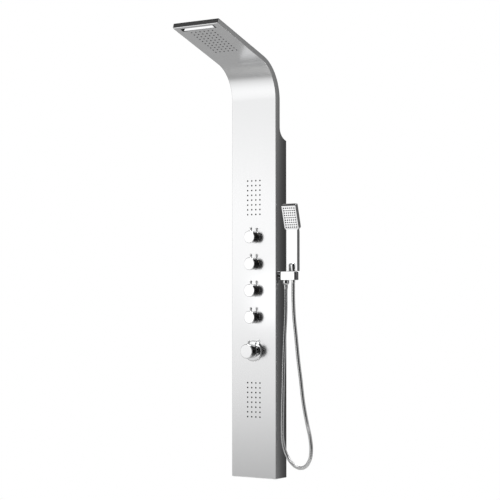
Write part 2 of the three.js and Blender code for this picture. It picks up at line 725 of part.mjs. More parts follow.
// ---------------------------------------------------------------- hand shower
// Made about the cradle's axis, with its zero at the top of the holder block.
const HANDLE_HALF_WIDTH = 23.75;
const HANDLE_HALF_DEPTH = 9;
const HANDLE_BOTTOM = 0.8;
const HEAD_START = 157;
const HEAD_HALF_WIDTH = 31;
const HEAD_LENGTH = 98.5;
const HEAD_THICKNESS = 17.5;
const FACE_HALF_WIDTH = 27.8;
const FACE_LOW = 4.8;
const FACE_HIGH = 91.5;
const WINDOW_HALF_WIDTH = 25.7;
const WINDOW_LOW = 6.8;
const WINDOW_HIGH = 88.5;
const SPRAY_COLUMNS = 6;
const SPRAY_ROWS = 9;
const SPRAY_PITCH_X = 8.7;
const SPRAY_PITCH_Z = 9.2;
const SPRAY_HALF = 2.2;
const handset = groupAt(CRADLE_X, CRADLE_Y, BLOCK_TOP);

const headFrame = new THREE.Matrix4()
  .makeTranslation(0, -HANDLE_HALF_DEPTH - 0.5, HEAD_START)
  .multiply(new THREE.Matrix4().makeRotationX(HANDSET_LEAN));

// Moves a geometry made upright into the leaning head. Its front is the plane Y = 0 there.
function onHead(geometry) {
  return geometry.clone().applyMatrix4(headFrame);
}

function headSlab() {
  const corner = 5;
  const [half, top] = [HEAD_HALF_WIDTH, HEAD_LENGTH];
  const shape = new THREE.Shape();
  shape.moveTo(-24, 0);
  shape.lineTo(24, 0);
  shape.lineTo(half, 6);
  shape.lineTo(half, top - corner);
  shape.absarc(half - corner, top - corner, corner, 0, Math.PI / 2);
  shape.lineTo(corner - half, top);
  shape.absarc(corner - half, top - corner, corner, Math.PI / 2, Math.PI);
  shape.lineTo(-half, 6);
  const options = { depth: HEAD_THICKNESS, bevelEnabled: false, curveSegments: 4 };
  const slab = new THREE.ExtrudeGeometry(shape, options);
  slab.rotateX(Math.PI / 2);
  slab.translate(0, HEAD_THICKNESS, 0);
  return onHead(slab);
}

// The handle's foot is arched over the hose's cone nut, which screws on the spigot inside.
function archCut() {
  const shape = new THREE.Shape();
  shape.moveTo(-14.5, -5);
  shape.lineTo(14.5, -5);
  shape.lineTo(14.5, 24);
  shape.absarc(7.5, 24, 7, 0, Math.PI / 2);
  shape.absarc(-7.5, 24, 7, Math.PI / 2, Math.PI);
  const options = { depth: 40, bevelEnabled: false, curveSegments: 4 };
  const arch = new THREE.ExtrudeGeometry(shape, options);
  arch.rotateX(Math.PI / 2);
  arch.translate(0, 20, 0);
  return arch;
}

function handsetBody() {
  const handle = sideExtrusion([
    [-HANDLE_HALF_DEPTH, HANDLE_BOTTOM], [HANDLE_HALF_DEPTH, HANDLE_BOTTOM],
    [HANDLE_HALF_DEPTH, 148], [6.8, 163], [0, 180], [-10, 176],
    [-HANDLE_HALF_DEPTH, HEAD_START],
  ], -HANDLE_HALF_WIDTH, HANDLE_HALF_WIDTH);
  const pocket = onHead(box([-FACE_HALF_WIDTH, -3, FACE_LOW], [FACE_HALF_WIDTH, 7, FACE_HIGH]));
  const spigot = bar(9, 13, 36, 'up', 16);
  return join(cut(join(handle, headSlab()), pocket, archCut()), spigot);
}

function sprayFacePlate() {
  const [halfX, low, high] = [FACE_HALF_WIDTH - GAP, FACE_LOW + GAP, FACE_HIGH - GAP];
  return onHead(cut(
    box([-halfX, 0, low], [halfX, 3.5, high]),
    box([-WINDOW_HALF_WIDTH, -2, WINDOW_LOW], [WINDOW_HALF_WIDTH, 6, WINDOW_HIGH]),
  ));
}

function sprayNozzleMat() {
  const [halfX, low, high] = [WINDOW_HALF_WIDTH - GAP, WINDOW_LOW + GAP, WINDOW_HIGH - GAP];
  const middle = (low + high) / 2;
  const nubs = [];
  for (let row = 0; row < SPRAY_ROWS; row += 1) {
    for (let columnIndex = 0; columnIndex < SPRAY_COLUMNS; columnIndex += 1) {
      const x = (columnIndex - (SPRAY_COLUMNS - 1) / 2) * SPRAY_PITCH_X;
      const z = middle + (row - (SPRAY_ROWS - 1) / 2) * SPRAY_PITCH_Z;
      nubs.push(box([x - SPRAY_HALF, -0.9, z - SPRAY_HALF], [x + SPRAY_HALF, 1.5, z + SPRAY_HALF]));
    }
  }
  return onHead(join(box([-halfX, 0.3, low], [halfX, 5, high]), mergeGeometries(nubs)));
}

addPart('handset_body', handsetBody(), chrome, handset);
addPart('handset_face_plate', sprayFacePlate(), chrome, handset);
addPart('handset_nozzle_mat', sprayNozzleMat(), silicone, handset);
addPart('hose_cone_nut', turned([
  [0, -32], [7.5, -32], [8.3, 0], [12.4, 22], [12.2, 26], [10.8, 28.8], [9.4, 30.4],
  [9.4, 12], [0, 12],
], 'up', 20), chrome, handset);
addPart('hose_handset_ferrule', bar(7.3, -43, -32.3, 'up', 16), chrome, handset);

// ---------------------------------------------------------------- shower hose
// The hose hangs from the outlet ferrule in one loop and rises to the hand shower's ferrule.
const HOSE_ROUTE = [
  [OUTLET_X, CRADLE_Y, 717.7],
  [OUTLET_X, CRADLE_Y, 690],
  [122.5, -43, 625],
  [119.5, -46, 538],
  [118, -50, 449],
  [116.9, -53.5, 343],
  [115.9, -56, 263],
  [115, -56.3, 190],
  [115.2, -53.6, 145.5],
  [124.3, -50.5, 105.2],
  [143.1, -48.5, 71.7],
  [170, -53.2, 51.7],
  [201.1, -62.7, 46.8],
  [230.5, -73.3, 58.3],
  [253.2, -83.5, 87.3],
  [259.6, -86.8, 126.8],
  [250.6, -80.1, 167],
  [231.8, -69.2, 215.8],
  [209, -58.1, 292.8],
  [193.3, -50.8, 377.3],
  [180.1, -46.6, 452.1],
  [169.5, -45, 538],
  [160.5, -43.7, 611],
  [156, -42.2, 680],
  [CRADLE_X, CRADLE_Y, 715],
  [CRADLE_X, CRADLE_Y, BLOCK_TOP - 43.3],
];
addPart('shower_hose', tubeAlong(HOSE_ROUTE, HOSE_RADIUS, 60, 8), chrome);

export default column;
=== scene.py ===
"""Looks of the rainfall shower column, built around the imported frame.

Metres, +Z up. The wall is the plane Y = 0, the front faces -Y, and +X is the hand shower's side.
"Height" is measured from the panel's bottom edge, and "depth" from its face toward the wall.
"""

from math import atan2, cos, hypot, pi, radians, sin, tan

import bmesh
import bpy
import numpy as np
from mathutils import Matrix, Vector


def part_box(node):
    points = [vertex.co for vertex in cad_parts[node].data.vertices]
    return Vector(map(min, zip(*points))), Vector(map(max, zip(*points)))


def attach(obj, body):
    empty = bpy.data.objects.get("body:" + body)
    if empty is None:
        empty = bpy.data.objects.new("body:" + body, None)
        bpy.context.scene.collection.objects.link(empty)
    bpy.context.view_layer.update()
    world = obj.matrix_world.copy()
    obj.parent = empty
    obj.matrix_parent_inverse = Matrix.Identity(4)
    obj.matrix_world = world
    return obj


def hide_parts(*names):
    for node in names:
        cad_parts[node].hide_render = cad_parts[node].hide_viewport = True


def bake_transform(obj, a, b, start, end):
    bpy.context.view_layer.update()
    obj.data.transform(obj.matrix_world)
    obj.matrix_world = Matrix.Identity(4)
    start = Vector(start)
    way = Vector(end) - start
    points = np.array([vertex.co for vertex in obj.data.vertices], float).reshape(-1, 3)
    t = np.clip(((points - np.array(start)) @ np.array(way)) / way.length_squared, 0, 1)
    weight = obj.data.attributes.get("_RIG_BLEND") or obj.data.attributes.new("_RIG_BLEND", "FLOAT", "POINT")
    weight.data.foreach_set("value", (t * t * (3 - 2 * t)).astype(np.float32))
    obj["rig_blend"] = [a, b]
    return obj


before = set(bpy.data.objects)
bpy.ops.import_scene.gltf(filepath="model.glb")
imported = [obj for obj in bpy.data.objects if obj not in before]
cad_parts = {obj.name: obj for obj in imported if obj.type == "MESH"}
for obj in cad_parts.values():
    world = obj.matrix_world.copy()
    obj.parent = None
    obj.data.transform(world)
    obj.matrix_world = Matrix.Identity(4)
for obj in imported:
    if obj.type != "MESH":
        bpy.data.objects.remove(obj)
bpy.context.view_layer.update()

# ---------------------------------------------------------------- sizes
MM = 0.001
GAP = 0.3 * MM
SHEET = 2 * MM
PANEL_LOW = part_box("front_shell")[0].z
HALF_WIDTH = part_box("front_shell")[1].x
FACE_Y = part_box("mixer_escutcheon")[1].y + GAP
BODY_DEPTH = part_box("front_shell")[1].y - FACE_Y
FOLD_RADIUS = 2.6 * MM

BEND_HEIGHT = 1.444
BEND_RADIUS = 0.140
BEND_TURN = radians(72.8)
ARM_ANGLE = pi / 2 - BEND_TURN
ARM_LENGTH = 0.312
ARM_THICKNESS = 0.019
NECK_THICKNESS = 0.0275
STEP_TOP = 1.335
STEP_BOTTOM = 1.288
ARM_START = BEND_HEIGHT + BEND_RADIUS * BEND_TURN
FACE_LENGTH = ARM_START + ARM_LENGTH
BEND_STEPS = 40
STEP_STEPS = 14

JET_PITCH = 18.5 * MM
NOZZLE_HOLE_RADIUS = 3.2 * MM
SLOT_HALF_LENGTH = 74 * MM
SLOT_FROM_TIP = 12.5 * MM
SLOT_WIDTH = 20.5 * MM
SLOT_CORNER = 2 * MM
RAIN_FIRST_ROW = 48 * MM
HEAD_ROOM = 15.5 * MM

HOSE_RADIUS = 7 * MM
HOSE_PITCH = 6.0 * MM

X_AXIS, Y_AXIS, Z_AXIS = Vector((1, 0, 0)), Vector((0, 1, 0)), Vector((0, 0, 1))
FRONT = -Y_AXIS


def at(x, y, height):
    """A point from millimetres, with its height above the panel's bottom edge."""
    return Vector((x * MM, y * MM, PANEL_LOW + height * MM))


def middle(node):
    """The middle of a CAD node's box."""
    low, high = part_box(node)
    return (low + high) / 2


def millimetres(points):
    """An outline in metres, from one in millimetres."""
    return [(a * MM, b * MM) for a, b in points]


def on_face(node):
    """The point of the panel's face in front of a turned CAD node."""
    spot = middle(node)
    return Vector((spot.x, FACE_Y, spot.z))


# ---------------------------------------------------------------- camera, light and floor
# The camera comes from a least-squares fit to the nozzle holes, edges and corners in the photo.
CAMERA_PLACE = Vector((3.0914, -4.9230, -0.5345))
CAMERA_YAW = radians(32.674)
CAMERA_PITCH = radians(2.019)
CAMERA_LENS = 108.16
FLOOR_DROP = 0.42
FLOOR_RADIUS = 2.4


def make_camera():
    """The photograph's viewpoint: from the front and the right, looking slightly up."""
    data = bpy.data.cameras.new("camera")
    data.lens = CAMERA_LENS
    data.sensor_width = 36
    camera = bpy.data.objects.new("camera", data)
    camera.location = CAMERA_PLACE
    camera.rotation_euler = (pi / 2 + CAMERA_PITCH, 0, CAMERA_YAW)
    bpy.context.scene.collection.objects.link(camera)
    bpy.context.scene.camera = camera


def add_node(tree, kind, **settings):
    """A shader node. A setting with a lower-case name is a property, and any other an input."""
    node = tree.nodes.new(kind)
    for name, value in settings.items():
        if name[0].islower():
            setattr(node, name, value)
        else:
            node.inputs[name.replace("_", " ")].default_value = value
    return node


def feed(tree, socket, value):
    """Gives an input another socket to read, or a constant."""
    if isinstance(value, bpy.types.NodeSocket):
        tree.links.new(value, socket)
    else:
        socket.default_value = value


def math_node(tree, operation, first, second=None, clamp=False):
    """A math node over sockets or numbers, returned as its output socket."""
    node = add_node(tree, "ShaderNodeMath", operation=operation, use_clamp=clamp)
    feed(tree, node.inputs[0], first)
    if second is not None:
        feed(tree, node.inputs[1], second)
    return node.outputs[0]


def weighted_sum(tree, first, share, second):
    """A share of one value socket and the rest of another."""
    part = math_node(tree, "MULTIPLY", first, share)
    return math_node(tree, "ADD", part, math_node(tree, "MULTIPLY", second, round(1 - share, 3)))


def split_vector(tree, vector):
    """The x, y and z sockets of a vector socket."""
    node = add_node(tree, "ShaderNodeSeparateXYZ")
    tree.links.new(vector, node.inputs[0])
    return node.outputs


def ramp_node(tree, factor, stops, smooth=False):
    """A grey colour ramp over a socket, from (position, brightness) pairs."""
    node = add_node(tree, "ShaderNodeValToRGB")
    node.color_ramp.interpolation = "EASE" if smooth else "LINEAR"
    elements = node.color_ramp.elements
    while len(elements) < len(stops):
        elements.new(0.5)
    for element, (position, value) in zip(elements, stops):
        element.position = position
        element.color = (value, value, value, 1)
    tree.links.new(factor, node.inputs[0])
    return node.outputs[0]


def mix_node(tree, factor, first, second, blend="MIX"):
    """A blend of two colours or colour sockets."""
    node = add_node(tree, "ShaderNodeMix", data_type="RGBA", blend_type=blend)
    colours = [socket for socket in node.inputs if socket.type == "RGBA"]
    for socket, value in zip((node.inputs["Factor"], *colours), (factor, first, second)):
        feed(tree, socket, value)
    return next(socket for socket in node.outputs if socket.type == "RGBA")


def azimuth_stops(*pairs):
    """Ramp stops from (azimuth in degrees, brightness) pairs, where -180 to 180 becomes 0 to 1."""
    return [((azimuth + 180) / 360, value) for azimuth, value in pairs]


# The studio as seen from the column: azimuth 0 is in front of it, 90 on the hand shower's side.
# Brightness near the horizon, high up and below, set from grey levels read off the photo.
STUDIO_LEVEL = azimuth_stops(
    (-180, 0.30), (-165, 0.14), (-135, 0.14), (-110, 0.50), (-90, 0.60), (-60, 0.45), (-33, 0.33),
    (-6, 0.33), (6, 0.06), (12, 0.003), (66, 0.003), (78, 0.35), (92, 0.50), (112, 0.16), (135, 0.11),
    (160, 0.11), (174, 0.25),
)
STUDIO_HIGH = azimuth_stops(
    (-180, 0.50), (-165, 0.30), (-154, 0.06), (-60, 0.06), (0, 0.01), (66, 0.01), (90, 0.50),
    (120, 0.60), (180, 0.50),
)
STUDIO_LOW = azimuth_stops(
    (-180, 0.30), (-140, 0.38), (-90, 0.36), (-33, 0.32), (-6, 0.20), (10, 0.01), (62, 0.01),
    (80, 0.30), (110, 0.35), (150, 0.30), (180, 0.30),
)


def make_studio():
    """A plain white backdrop for the camera, and a soft studio all round for the light."""
    world = bpy.data.worlds.new("studio")
    bpy.context.scene.world = world
    world.use_nodes = True
    tree = world.node_tree
    tree.nodes.clear()
    x, y, z = split_vector(tree, add_node(tree, "ShaderNodeTexCoord").outputs["Generated"])
    turn = math_node(tree, "ARCTAN2", x, math_node(tree, "MULTIPLY", y, -1))
    azimuth = math_node(tree, "ADD", math_node(tree, "DIVIDE", turn, 2 * pi), 0.5)
    height = math_node(tree, "ADD", math_node(tree, "MULTIPLY", z, 0.5), 0.5, clamp=True)
    level = ramp_node(tree, azimuth, STUDIO_LEVEL)
    high = ramp_node(tree, azimuth, STUDIO_HIGH)
    low = ramp_node(tree, azimuth, STUDIO_LOW)
    rising = ramp_node(tree, height, [(0.54, 0), (0.70, 1)])
    falling = ramp_node(tree, height, [(0.36, 1), (0.47, 0)])
    light = mix_node(tree, falling, mix_node(tree, rising, level, high), low)
    seen = add_node(tree, "ShaderNodeLightPath").outputs["Is Camera Ray"]
    background = add_node(tree, "ShaderNodeBackground")
    tree.links.new(mix_node(tree, seen, light, (1, 1, 1, 1)), background.inputs["Color"])
    output = add_node(tree, "ShaderNodeOutputWorld")
    tree.links.new(background.outputs[0], output.inputs[0])


def add_softbox(name, place, target, size, power, fade=None):
    """A soft rectangular light, (width, height) in size. Fade is its brightness from bottom to top."""
    data = bpy.data.lights.new(name, "AREA")
    data.energy = power
    data.shape = "RECTANGLE"
    data.size, data.size_y = size
    lamp = bpy.data.objects.new(name, data)
    lamp.location = place
    lamp.rotation_euler = (Vector(place) - Vector(target)).to_track_quat("Z", "Y").to_euler()
    lamp.visible_camera = False
    bpy.context.scene.collection.objects.link(lamp)
    if fade:
        data.use_nodes = True
        tree = data.node_tree
        spot = add_node(tree, "ShaderNodeNewGeometry").outputs["Parametric"]
        strength = ramp_node(tree, split_vector(tree, spot)["Y"], fade)
        tree.links.new(strength, tree.nodes["Emission"].inputs["Strength"])


# The big soft light stands close in front, on the left. It is dimmest at its lower edge, by a fade
# that was set from grey levels read off the photo.
FRONT_BOX_PLACE = Vector((-0.82, -1.33, -0.35))
FRONT_BOX_SIZE = (1.6, 2.4)
FRONT_BOX_FADE = [
    (0.0, 0.12), (0.092, 0.27), (0.23, 0.62), (0.362, 0.79), (0.48, 0.94), (0.604, 1.0), (0.81, 0.87),
    (0.9, 0.92),
]


def make_floor():
    """A plain pale disc below the column, which fades out into the backdrop."""
    ring = bmesh.new()
    bmesh.ops.create_circle(ring, cap_ends=True, radius=FLOOR_RADIUS, segments=96)
    mesh = bpy.data.meshes.new("floor")
    ring.to_mesh(mesh)
    ring.free()
    disc = bpy.data.objects.new("floor", mesh)
    disc.location = (0, FACE_Y, PANEL_LOW - FLOOR_DROP)
    bpy.context.scene.collection.objects.link(disc)
    look = bpy.data.materials.new("pale_floor")
    look.use_nodes = True
    tree = look.node_tree
    tree.nodes.clear()
    place = add_node(tree, "ShaderNodeTexCoord").outputs["Object"]
    length = add_node(tree, "ShaderNodeVectorMath", operation="LENGTH")
    tree.links.new(place, length.inputs[0])
    reach = math_node(tree, "DIVIDE", length.outputs["Value"], FLOOR_RADIUS)
    fade = ramp_node(tree, reach, [(0.14, 0), (0.78, 1)], smooth=True)
    paint = add_node(tree, "ShaderNodeBsdfDiffuse", Color=(0.86, 0.86, 0.85, 1))
    clear = add_node(tree, "ShaderNodeBsdfTransparent")
    mixed = add_node(tree, "ShaderNodeMixShader")
    tree.links.new(fade, mixed.inputs[0])
    tree.links.new(paint.outputs[0], mixed.inputs[1])
    tree.links.new(clear.outputs[0], mixed.inputs[2])
    output = add_node(tree, "ShaderNodeOutputMaterial")
    tree.links.new(mixed.outputs[0], output.inputs[0])
    mesh.materials.append(look)


def make_stage():
    """Camera, backdrop, lights and floor."""
    bpy.context.scene.view_settings.view_transform = "Standard"
    make_camera()
    make_studio()
    centre = middle("front_shell")
    level = Vector((0, FACE_Y, FRONT_BOX_PLACE.z))
    add_softbox("front_light", FRONT_BOX_PLACE, level, FRONT_BOX_SIZE, 9.4, FRONT_BOX_FADE)
    add_softbox("top_light", (0, -0.6, 2.6), (0, -0.6, 0), (2.0, 2.0), 78)
    add_softbox("spray_light", (-0.26, -0.65, -0.52), middle("handset_face_plate"), (0.20, 0.24), 0.032)
    add_softbox("rear_light", (0.3, 3.2, 1.9), centre, (1.8, 1.4), 34)
    make_floor()


# ---------------------------------------------------------------- materials
def start_look(name, colour, metallic, roughness, **inputs):
    """A new material with its principled shader, its object coordinates and its node tree."""
    look = bpy.data.materials.new(name)
    look.use_nodes = True
    tree = look.node_tree
    shader = tree.nodes["Principled BSDF"]
    shader.inputs["Base Color"].default_value = (*colour, 1)
    shader.inputs["Metallic"].default_value = metallic
    shader.inputs["Roughness"].default_value = roughness
    for key, value in inputs.items():
        shader.inputs[key.replace("_", " ")].default_value = value
    place = add_node(tree, "ShaderNodeTexCoord").outputs["Object"]
    return look, tree, shader, place


def scaled(tree, vector, scale):
    """A vector socket times three numbers."""
    node = add_node(tree, "ShaderNodeVectorMath", operation="MULTIPLY")
    tree.links.new(vector, node.inputs[0])
    node.inputs[1].default_value = scale
    return node.outputs[0]


def noise_node(tree, vector, scale, detail=3.0, rough=0.55):
    """Noise over a vector, as its value socket."""
    node = add_node(tree, "ShaderNodeTexNoise", Scale=scale, Detail=detail, Roughness=rough)
    tree.links.new(vector, node.inputs["Vector"])
    return node.outputs["Fac"]


def vary_colour(tree, shader, factor, first, second):
    """Base colour between two colours."""
    mixed = mix_node(tree, factor, (*first, 1), (*second, 1))
    tree.links.new(mixed, shader.inputs["Base Color"])


def vary_roughness(tree, shader, factor, low, high):
    """Roughness from low to high over a factor."""
    node = add_node(tree, "ShaderNodeMapRange")
    node.inputs["To Min"].default_value = low
    node.inputs["To Max"].default_value = high
    tree.links.new(factor, node.inputs["Value"])
    tree.links.new(node.outputs[0], shader.inputs["Roughness"])


def add_bump(tree, shader, height, distance, strength=1.0):
    """A bump of a real height in metres."""
    node = add_node(tree, "ShaderNodeBump", Strength=strength, Distance=distance)
    tree.links.new(height, node.inputs["Height"])
    tree.links.new(node.outputs[0], shader.inputs["Normal"])


# Painted shade: how far the sheet's colour darkens, from its face (0) to the wall (1).
PAINTED_FLANGE_SHADE = [(0.04, 1.0), (0.19, 0.89), (0.48, 0.56), (0.77, 0.38), (1.0, 0.30)]


def brushed_panel_look():
    """Stainless sheet, ground in fine lines along its length. The flow attribute follows the sheet.

    The colour itself darkens toward the wall by painted shade, to look as the right flange does in the
    photo.
    """
    look, tree, shader, _ = start_look("brushed_panel", (0.9, 0.905, 0.91), 1.0, 0.2)
    flow = add_node(tree, "ShaderNodeAttribute", attribute_name="flow").outputs["Vector"]
    fine = noise_node(tree, scaled(tree, flow, (2600, 2600, 9)), 1.0, 2.0)
    broad = noise_node(tree, scaled(tree, flow, (420, 420, 3)), 1.0, 3.0)
    cloud = noise_node(tree, scaled(tree, flow, (14, 14, 5)), 1.0, 2.0)
    lines = weighted_sum(tree, fine, 0.6, broad)
    ground = mix_node(tree, lines, (0.83, 0.835, 0.845, 1), (0.95, 0.95, 0.95, 1))
    depth = split_vector(tree, flow)["Y"]
    toward_wall = math_node(tree, "DIVIDE", depth, BODY_DEPTH, clamp=True)
    # Painted shade: the base colour darkens with depth toward the wall.
    shade = ramp_node(tree, toward_wall, PAINTED_FLANGE_SHADE)
    tree.links.new(mix_node(tree, 1.0, ground, shade, "MULTIPLY"), shader.inputs["Base Color"])
    mixed = weighted_sum(tree, lines, 0.7, cloud)
    vary_roughness(tree, shader, mixed, 0.13, 0.27)
    add_bump(tree, shader, lines, 0.00002, 0.6)
    return look


def chrome_look():
    """Polished chrome with a faint film of wiped water marks."""
    look, tree, shader, place = start_look("chrome", (0.95, 0.955, 0.96), 1.0, 0.05)
    film = noise_node(tree, place, 38.0, 4.0, 0.6)
    vary_colour(tree, shader, film, (0.93, 0.935, 0.945), (0.975, 0.975, 0.975))
    vary_roughness(tree, shader, film, 0.03, 0.085)
    add_bump(tree, shader, noise_node(tree, place, 160.0, 1.0), 0.000012, 0.5)
    return look


def wound_steel_look():
    """The hose's wound steel strip: bright ridges, with painted shade in the grooves."""
    look, tree, shader, place = start_look("wound_steel", (0.8, 0.8, 0.82), 1.0, 0.16)
    wave = add_node(tree, "ShaderNodeAttribute", attribute_name="ridge").outputs["Fac"]
    scuff = noise_node(tree, place, 300.0, 3.0)
    # Painted shade: the colour darkens in the grooves between the ridges.
    vary_colour(tree, shader, wave, (0.46, 0.465, 0.475), (0.97, 0.97, 0.97))
    vary_roughness(tree, shader, scuff, 0.1, 0.2)
    add_bump(tree, shader, scuff, 0.00003, 0.5)
    return look


def zinc_plate_look():
    """Galvanised steel with its spangle."""
    look, tree, shader, place = start_look("zinc_plate", (0.6, 0.61, 0.62), 1.0, 0.42)
    cells = add_node(tree, "ShaderNodeTexVoronoi", Scale=170.0)
    tree.links.new(place, cells.inputs["Vector"])
    tone = math_node(tree, "FRACT", math_node(tree, "MULTIPLY", cells.outputs["Color"], 3.0))
    vary_colour(tree, shader, tone, (0.52, 0.53, 0.55), (0.72, 0.73, 0.74))
    vary_roughness(tree, shader, tone, 0.32, 0.5)
    add_bump(tree, shader, noise_node(tree, place, 900.0), 0.00003, 0.5)
    return look


def brass_look():
    """Raw brass with a cast grain and a little tarnish."""
    look, tree, shader, place = start_look("brass", (0.72, 0.55, 0.27), 1.0, 0.34)
    tarnish = noise_node(tree, place, 45.0, 4.0)
    vary_colour(tree, shader, tarnish, (0.50, 0.36, 0.16), (0.80, 0.63, 0.34))
    vary_roughness(tree, shader, tarnish, 0.44, 0.24)
    add_bump(tree, shader, noise_node(tree, place, 1400.0), 0.00005, 0.5)
    return look


def silicone_look():
    """Dark grey soft nozzles with a trace of lime at the lips."""
    look, tree, shader, place = start_look(
        "silicone", (0.03, 0.032, 0.035), 0.0, 0.6, Specular_IOR_Level=0.25
    )
    chalk = noise_node(tree, place, 420.0, 3.0)
    vary_colour(tree, shader, chalk, (0.012, 0.013, 0.015), (0.05, 0.052, 0.056))
    vary_roughness(tree, shader, chalk, 0.5, 0.72)
    add_bump(tree, shader, chalk, 0.00004, 0.4)
    return look


def plastic_look(name, dark, light, roughness):
    """Moulded plastic with a fine spark-eroded grain."""
    look, tree, shader, place = start_look(name, light, 0.0, roughness)
    mottle = noise_node(tree, place, 60.0, 3.0)
    vary_colour(tree, shader, mottle, dark, light)
    vary_roughness(tree, shader, mottle, roughness - 0.08, roughness + 0.06)
    add_bump(tree, shader, noise_node(tree, place, 1800.0, 2.0), 0.00005, 0.4)
    return look


LOOKS = {
    "brushed_panel": brushed_panel_look(),
    "chrome": chrome_look(),
    "wound_steel": wound_steel_look(),
    "zinc_plate": zinc_plate_look(),
    "brass": brass_look(),
    "silicone": silicone_look(),
    "white_plastic": plastic_look("white_plastic", (0.70, 0.70, 0.68), (0.80, 0.80, 0.78), 0.45),
    "grey_plastic": plastic_look("grey_plastic", (0.20, 0.21, 0.22), (0.29, 0.30, 0.31), 0.5),
    "water_pipe": plastic_look("water_pipe", (0.72, 0.73, 0.70), (0.84, 0.84, 0.81), 0.36),
}


# ---------------------------------------------------------------- mesh helpers
SMOOTH_UP_TO = radians(33)


def finish_object(name, shape, look, body):
    """A bmesh becomes a piece with smooth rounds and crisp edges, riding on its body."""
    bmesh.ops.remove_doubles(shape, verts=shape.verts[:], dist=2e-7)
    bmesh.ops.dissolve_degenerate(shape, edges=shape.edges[:], dist=1e-7)
    bmesh.ops.recalc_face_normals(shape, faces=shape.faces[:])
    for face in shape.faces:
        face.smooth = True
    for edge in shape.edges:
        edge.smooth = len(edge.link_faces) == 2 and edge.calc_face_angle(pi) < SMOOTH_UP_TO
    mesh = bpy.data.meshes.new(name)
    shape.to_mesh(mesh)
    shape.free()
    piece = bpy.data.objects.new(name, mesh)
    bpy.context.scene.collection.objects.link(piece)
    mesh.materials.append(LOOKS[look])
    evened = piece.modifiers.new("even_normals", "WEIGHTED_NORMAL")
    evened.keep_sharp = True
    if body:
        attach(piece, body)
    return piece


def add_piece(name, shape, look, body, *nodes):
    """A finished piece that stands for CAD nodes."""
    piece = finish_object(name, shape, look, body)
    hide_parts(*nodes)
    return piece


def add_cad_piece(name, node, look, width):
    """A finished piece made from a CAD node's own solid."""
    add_piece(name, cad_shape(node, width), look, "column", node)


def add_turned_piece(name, node, look, body, profile, origin, axis=FRONT, **options):
    """A finished piece with one turned body, which stands for a CAD node."""
    return add_piece(name, turned(profile, origin, axis, **options), look, body, node)


def rounded(points, radius, closed=False, steps=3):
    """An outline whose corners are eased by up to a radius."""
    eased = []
    count = len(points)
    for i, point in enumerate(points):
        corner = Vector(point)
        if not closed and i in (0, count - 1):
            eased.append(corner)
            continue
        back = Vector(points[i - 1]) - corner
        ahead = Vector(points[(i + 1) % count]) - corner
        reach = min(radius, 0.45 * back.length, 0.45 * ahead.length)
        start = corner + back.normalized() * reach
        end = corner + ahead.normalized() * reach
        for k in range(steps + 1):
            t = k / steps
            eased.append(start * (1 - t) ** 2 + corner * 2 * t * (1 - t) + end * t * t)
    return eased


def axis_frame(origin, axis):
    """The matrix that takes +Z to an axis through an origin."""
    turn = Vector(axis).to_track_quat("Z", "Y").to_matrix().to_4x4()
    return Matrix.Translation(origin) @ turn


def bar_profile(radius, low, high):
    """The profile of a plain round bar, in millimetres."""
    return [(0, low), (radius, low), (radius, high), (0, high)]


def add_turned(shape, profile, origin, axis, segments=48, ease=0.5, closed=False):
    """Adds a turned body to a bmesh, from (radius, distance) points in millimetres."""
    outline = rounded(millimetres(profile), ease * MM, closed)
    place = axis_frame(origin, axis)
    rings = []
    for radius, distance in outline:
        if radius < 1e-7:
            rings.append([shape.verts.new(place @ Vector((0, 0, distance)))])
            continue
        ring = []
        for i in range(segments):
            angle = 2 * pi * i / segments
            spot = Vector((radius * cos(angle), radius * sin(angle), distance))
            ring.append(shape.verts.new(place @ spot))
        rings.append(ring)
    pairs = list(zip(rings, rings[1:]))
    if closed:
        pairs.append((rings[-1], rings[0]))
    for low, high in pairs:
        join_rings(shape, low, high)


def join_rings(shape, low, high):
    """Faces between two rings, either of which may be a single point on the axis."""
    count = max(len(low), len(high))
    if count == 1:
        return
    for i in range(count):
        j = (i + 1) % count
        corners = [low[i % len(low)], low[j % len(low)], high[j % len(high)], high[i % len(high)]]
        kept = list(dict.fromkeys(corners))
        if len(kept) > 2:
            shape.faces.new(kept)


def turned(profile, origin, axis, **options):
    """A bmesh holding one turned body."""
    shape = bmesh.new()
    add_turned(shape, profile, origin, axis, **options)
    return shape


def add_box(shape, low, high, radius=0.0, place=None, segments=2):
    """Adds a box with eased edges, from its corners in metres."""
    low, high = Vector(low), Vector(high)
    made = bmesh.ops.create_cube(shape, size=1.0)["verts"]
    for vert in made:
        for axis in range(3):
            vert.co[axis] = (low[axis] + high[axis]) / 2 + vert.co[axis] * (high[axis] - low[axis])
    if radius:
        edges = list({edge for vert in made for edge in vert.link_edges})
        made_now = bmesh.ops.bevel(
            shape, geom=edges, offset=radius, segments=segments, profile=0.5, affect="EDGES"
        )
        eased = {vert for face in made_now["faces"] for vert in face.verts}
        made = list(eased | {vert for vert in made if vert.is_valid})
    if place is not None:
        for vert in made:
            vert.co = place @ vert.co


PRISM_ORDER = {"X": (2, 0, 1), "Y": (0, 2, 1), "Z": (0, 1, 2)}


def add_prism(shape, outline, low, high, place=None, axis="X"):
    """Adds an outline of two coordinates extruded along an axis, in metres. Returns its vertices."""
    def spot(*values):
        point = Vector([values[k] for k in PRISM_ORDER[axis]])
        return place @ point if place is not None else point

    ends = [[shape.verts.new(spot(a, b, along)) for a, b in outline] for along in (low, high)]
    shape.faces.new(ends[0])
    shape.faces.new(list(reversed(ends[1])))
    count = len(outline)
    for i in range(count):
        j = (i + 1) % count
        shape.faces.new([ends[0][j], ends[0][i], ends[1][i], ends[1][j]])
    return ends[0] + ends[1]


def solid_object(shape):
    """A throwaway object for a boolean, holding a bmesh."""
    bmesh.ops.recalc_face_normals(shape, faces=shape.faces[:])
    mesh = bpy.data.meshes.new("tool")
    shape.to_mesh(mesh)
    shape.free()
    tool = bpy.data.objects.new("tool", mesh)
    bpy.context.scene.collection.objects.link(tool)
    return tool


